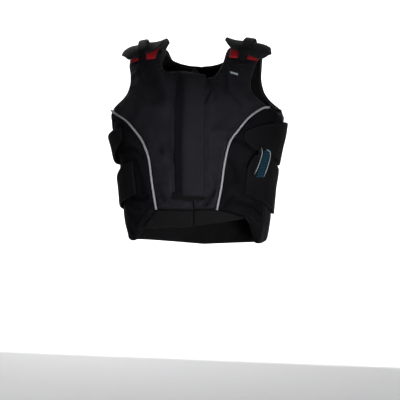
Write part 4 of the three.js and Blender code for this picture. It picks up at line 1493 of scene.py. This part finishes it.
# Thin lobed pads over the shoulders, with a bound edge
def shoulderCaps():
    def liftOf(s):
        inner, outer = smoothStep(0.3, -0.1, s), smoothStep(0.62, 1.0, s)
        return caps["lift"] + caps["flareIn"] * inner + caps["flareOut"] * outer

    for name, side in bothSides.items():
        def place(s, t):
            front = columnAt(capSections, 0, s) - 0.05
            for at, width, depth in capLobes:
                front = front - depth * np.exp(-(((s - at) / width) ** 2))
            station = mix(front, columnAt(capSections, 1, s), t)
            return side * angleAt(mix(caps["inset"], caps["reach"], s), station), station

        def over(sheet):
            crown = smoothStep(0, 0.024, sheet["edge"])
            soft = waves(sheet["points"], 0.03, 81 + side) * 0.0006 * crown
            rim = 0.0006 * np.exp(-((sheet["edge"] - caps["stitch"]) / 0.0013) ** 2)
            return liftOf(sheet["s"]) + mix(caps["edge"], caps["thickness"] - 0.0006, crown) + soft - rim

        item = slab(f"shoulderCap_{name}", place, over, lambda sheet: liftOf(sheet["s"]), caps, "capNylon")
        rows = [("bottom", 0.06, 0.94), ("top", 0.06, 0.94), ("start", 0.08, 0.92), ("end", 0.08, 0.92)]
        join(item, [sewn(place, caps["stitch"], lambda s, t: liftOf(s) + 0.0046, rows)])
        placed(item, f"shoulder_cap_{name}")


bands = {
    "lift": 0.0005, "thickness": 0.002, "middle": 0.1025, "width": 0.055, "bottom": 0.597, "top": 0.86,
    "stitch": 0.003, "step": 0.003, "crowd": 0.5, "rounding": (0.0012, 0.0007, 0.0004),
}


def shoulderBands():
    middle, width = (lambda t: bands["middle"] + 0 * t), (lambda t: bands["width"] + 0 * t)
    for name, side in bothSides.items():
        def over(sheet):
            weave = waves(sheet["points"], 0.012, 91 + side) * 0.00012
            top = bands["lift"] + bands["thickness"] - 0.0002 + weave
            return top - 0.0004 * np.exp(-((sheet["edge"] - bands["stitch"]) / 0.0008) ** 2)

        place = stripPlace(side, middle, width, bands["bottom"], bands["top"])
        item = slab(f"shoulderBand_{name}", place, over, bands["lift"], bands, "redBand")
        top = bands["lift"] + bands["thickness"] - 0.0004
        rows = [("bottom", 0.03, 0.97), ("start", 0.05, 0.95), ("end", 0.05, 0.95)]
        join(item, [sewn(place, bands["stitch"], top, rows)])
        placed(item, f"shoulder_band_{name}")


straps = {
    "width": 0.017, "thickness": 0.0035, "inner": 0.099, "outer": 0.11, "bottom": 0.5, "top": 1.3, "ribs": 7,
    "step": 0.0021, "crowd": 0.3, "rounding": (0.0012, 0.0008, 0.0005),
}
capTop = caps["lift"] + caps["thickness"] + 0.0005
# station, height of the strap's underside: on the chest, over the band, up and over the cap
strapRide = [
    (0.5, 0.0005), (0.567, 0.0008), (0.594, caps["lift"] + 0.0005), (0.607, caps["lift"] + 0.0008),
    (0.636, capTop - 0.0035), (0.68, capTop + 0.0008), (0.93, capTop + 0.004), (1.1, capTop + 0.004),
    (1.3, capTop),
]
# The crossed box that fastens its lower end: from s, t to s, t
boxStitch = [
    (0.18, 0.012, 0.82, 0.012), (0.18, 0.085, 0.82, 0.085), (0.18, 0.012, 0.18, 0.085),
    (0.82, 0.012, 0.82, 0.085), (0.2, 0.014, 0.8, 0.083), (0.8, 0.014, 0.2, 0.083),
]


def shoulderStraps():
    middle = lambda t: mix(straps["inner"], straps["outer"], np.minimum(1.6 * t, 1))
    width = lambda t: straps["width"] + 0 * t

    def floorOf(t):
        stations, heights = zip(*strapRide)
        return smooth(stations, heights, mix(straps["bottom"], straps["top"], t))

    def over(sheet):
        rib = 0.00016 * np.cos(sheet["s"] * 2 * math.pi * straps["ribs"])
        selvedge = 0.0003 * np.exp(-((sheet["edge"] - 0.0022) / 0.0006) ** 2)
        return floorOf(sheet["t"]) + straps["thickness"] - 0.0002 + rib - selvedge

    for name, side in bothSides.items():
        place = stripPlace(side, middle, width, straps["bottom"], straps["top"])
        under = lambda sheet: floorOf(sheet["t"])
        item = slab(f"shoulderStrap_{name}", place, over, under, straps, "webbing")
        lines = []
        for s0, t0, s1, t1 in boxStitch:
            s, t = np.linspace(s0, s1, 20), np.linspace(t0, t1, 20)
            top = floorOf(t) + straps["thickness"] - 0.0001
            lines.append((lifted(place(s, t), top), skinNormal(*place(s, t))))
        join(item, [stitches(lines, 0.0028, 0.0021)])
        placed(item, f"shoulder_strap_{name}")


label = {
    "angle": 56.2, "station": -0.465, "lean": 4.5, "width": 0.036, "height": 0.066, "thickness": 0.0008,
    "bands": 10, "relief": 0.00012, "step": 0.0016, "crowd": 0.2, "rounding": (0.0008, 0.0003, 0.0001),
}
# Pale edges of the label, as places across and up it, and their widths
labelArcs = [
    ([(0.4, 0.93), (0.78, 0.83), (0.92, 0.6), (0.91, 0.4), (0.8, 0.05)], 0.0022),
    ([(0.07, 0.98), (0.24, 0.78), (0.25, 0.58), (0.22, 0.38), (0.12, 0.17)], 0.0017),
]


# A plain woven label on the tab: blue bands between two pale edges, no lettering
def sideLabel():
    degree, tall = stepsAt(np.array(label["angle"]), np.array(label["station"]))
    rows = lowerTabs[1]
    angles = [r[0] for r in rows]
    shares = np.arange(len(rows)) / (len(rows) - 1)

    def place(s, t):
        angle = label["angle"] + (s - 0.5) * label["width"] / degree + (t - 0.5) * label["lean"]
        return angle, label["station"] + (t - 0.5) * label["height"] / tall

    def floorOf(s, t):
        along = smooth(angles, shares, place(s, t)[0])
        return 0.0015 + tabs["thickness"] + tabs["stand"] * np.sin(math.pi * along)

    def over(sheet):
        relief = label["relief"] * np.sin(sheet["t"] * math.pi * 2 * label["bands"])
        return floorOf(sheet["s"], sheet["t"]) + label["thickness"] - 0.0001 + relief

    def strip(line, width, material, rise):
        u = np.linspace(0, 1, 24)
        s, t = [smooth(np.linspace(0, 1, len(line)), [p[k] for p in line], u) for k in (0, 1)]
        centre = lifted(place(s, t), floorOf(s, t) + label["thickness"])
        up = skinNormal(*place(s, t))
        aside = unit(np.cross(unit(np.gradient(centre, axis=0)), up))
        taper = (width / 2 * np.clip(np.sin(math.pi * u) * 2.2, 0.15, 1))[:, None]
        profile = [(-1, -0.0001), (-0.8, rise), (0, rise + 0.0001), (0.8, rise), (1, -0.0001)]
        grid = np.stack([centre + aside * taper * across + up * high for across, high in profile], 1)
        faces = gridFaces(*grid.shape[:2])
        return meshObject("strip", grid.reshape(-1, 3), faces, [material], closed=False)

    item = slab("sideLabel", place, over, lambda sheet: floorOf(sheet["s"], sheet["t"]), label, "tabCloth")
    extras = [strip(line, width, "paleLabel", 0.0001) for line, width in labelArcs]
    for k in range(label["bands"]):
        t = 0.12 + 0.74 * k / (label["bands"] - 1)
        left, right = 0.26 + 0.04 * t, 0.76 + 0.1 * math.sin(math.pi * t)
        line = [(left, t - 0.02), ((left + right) / 2, t), (right, t + 0.01)]
        extras.append(strip(line, 0.0044, "blueLabel", 0.00005))
    join(item, extras)
    placed(item, "side_label")


chest = {
    "x": 0.088, "station": 0.4, "width": 0.015, "height": 0.0045, "lift": 0.0005, "thickness": 0.0008,
    "tilt": 0.02, "step": 0.0008, "crowd": 0.2, "rounding": (0.0006, 0.0003, 0.0001),
}


def chestLabel():
    tall = stepsAt(angleAt(chest["x"], chest["station"]), np.array(chest["station"]))[1]

    def place(s, t):
        station = chest["station"] + (t - 0.5) * chest["height"] / tall - (s - 0.5) * chest["tilt"]
        return angleAt(chest["x"] + (s - 0.5) * chest["width"], station), station

    over = chest["lift"] + chest["thickness"]
    item = slab("chestLabel", place, over, chest["lift"], chest, "paleLabel")
    lines = [borderPath(place, kind, 0.0008, 0.05, 0.95, 0.0012) for kind in ("top", "bottom")]
    join(item, [stitches(lines, 0.0016, 0.0011, 0.00014)])
    placed(item, "chest_label")


makeCamera()
makeLights()
groups["threads"] = weaveGroup()
groups["clothTone"] = toneGroup()
for key, look in looks.items():
    fabric(key, {**plainCloth, **look})
makeFloor()
print("stage: camera, lights and materials made")
frontPanels()
print("stage: front panels made")
sidePanels()
backPanel()
print("stage: side and back panels made")
pipings()
hemBands()
sideTabs()
print("stage: piping, hem bands and tabs made")
frontFlap()
frontZip()
shoulderCaps()
shoulderBands()
shoulderStraps()
print("stage: flap, zip and shoulders made")
sideLabel()
chestLabel()
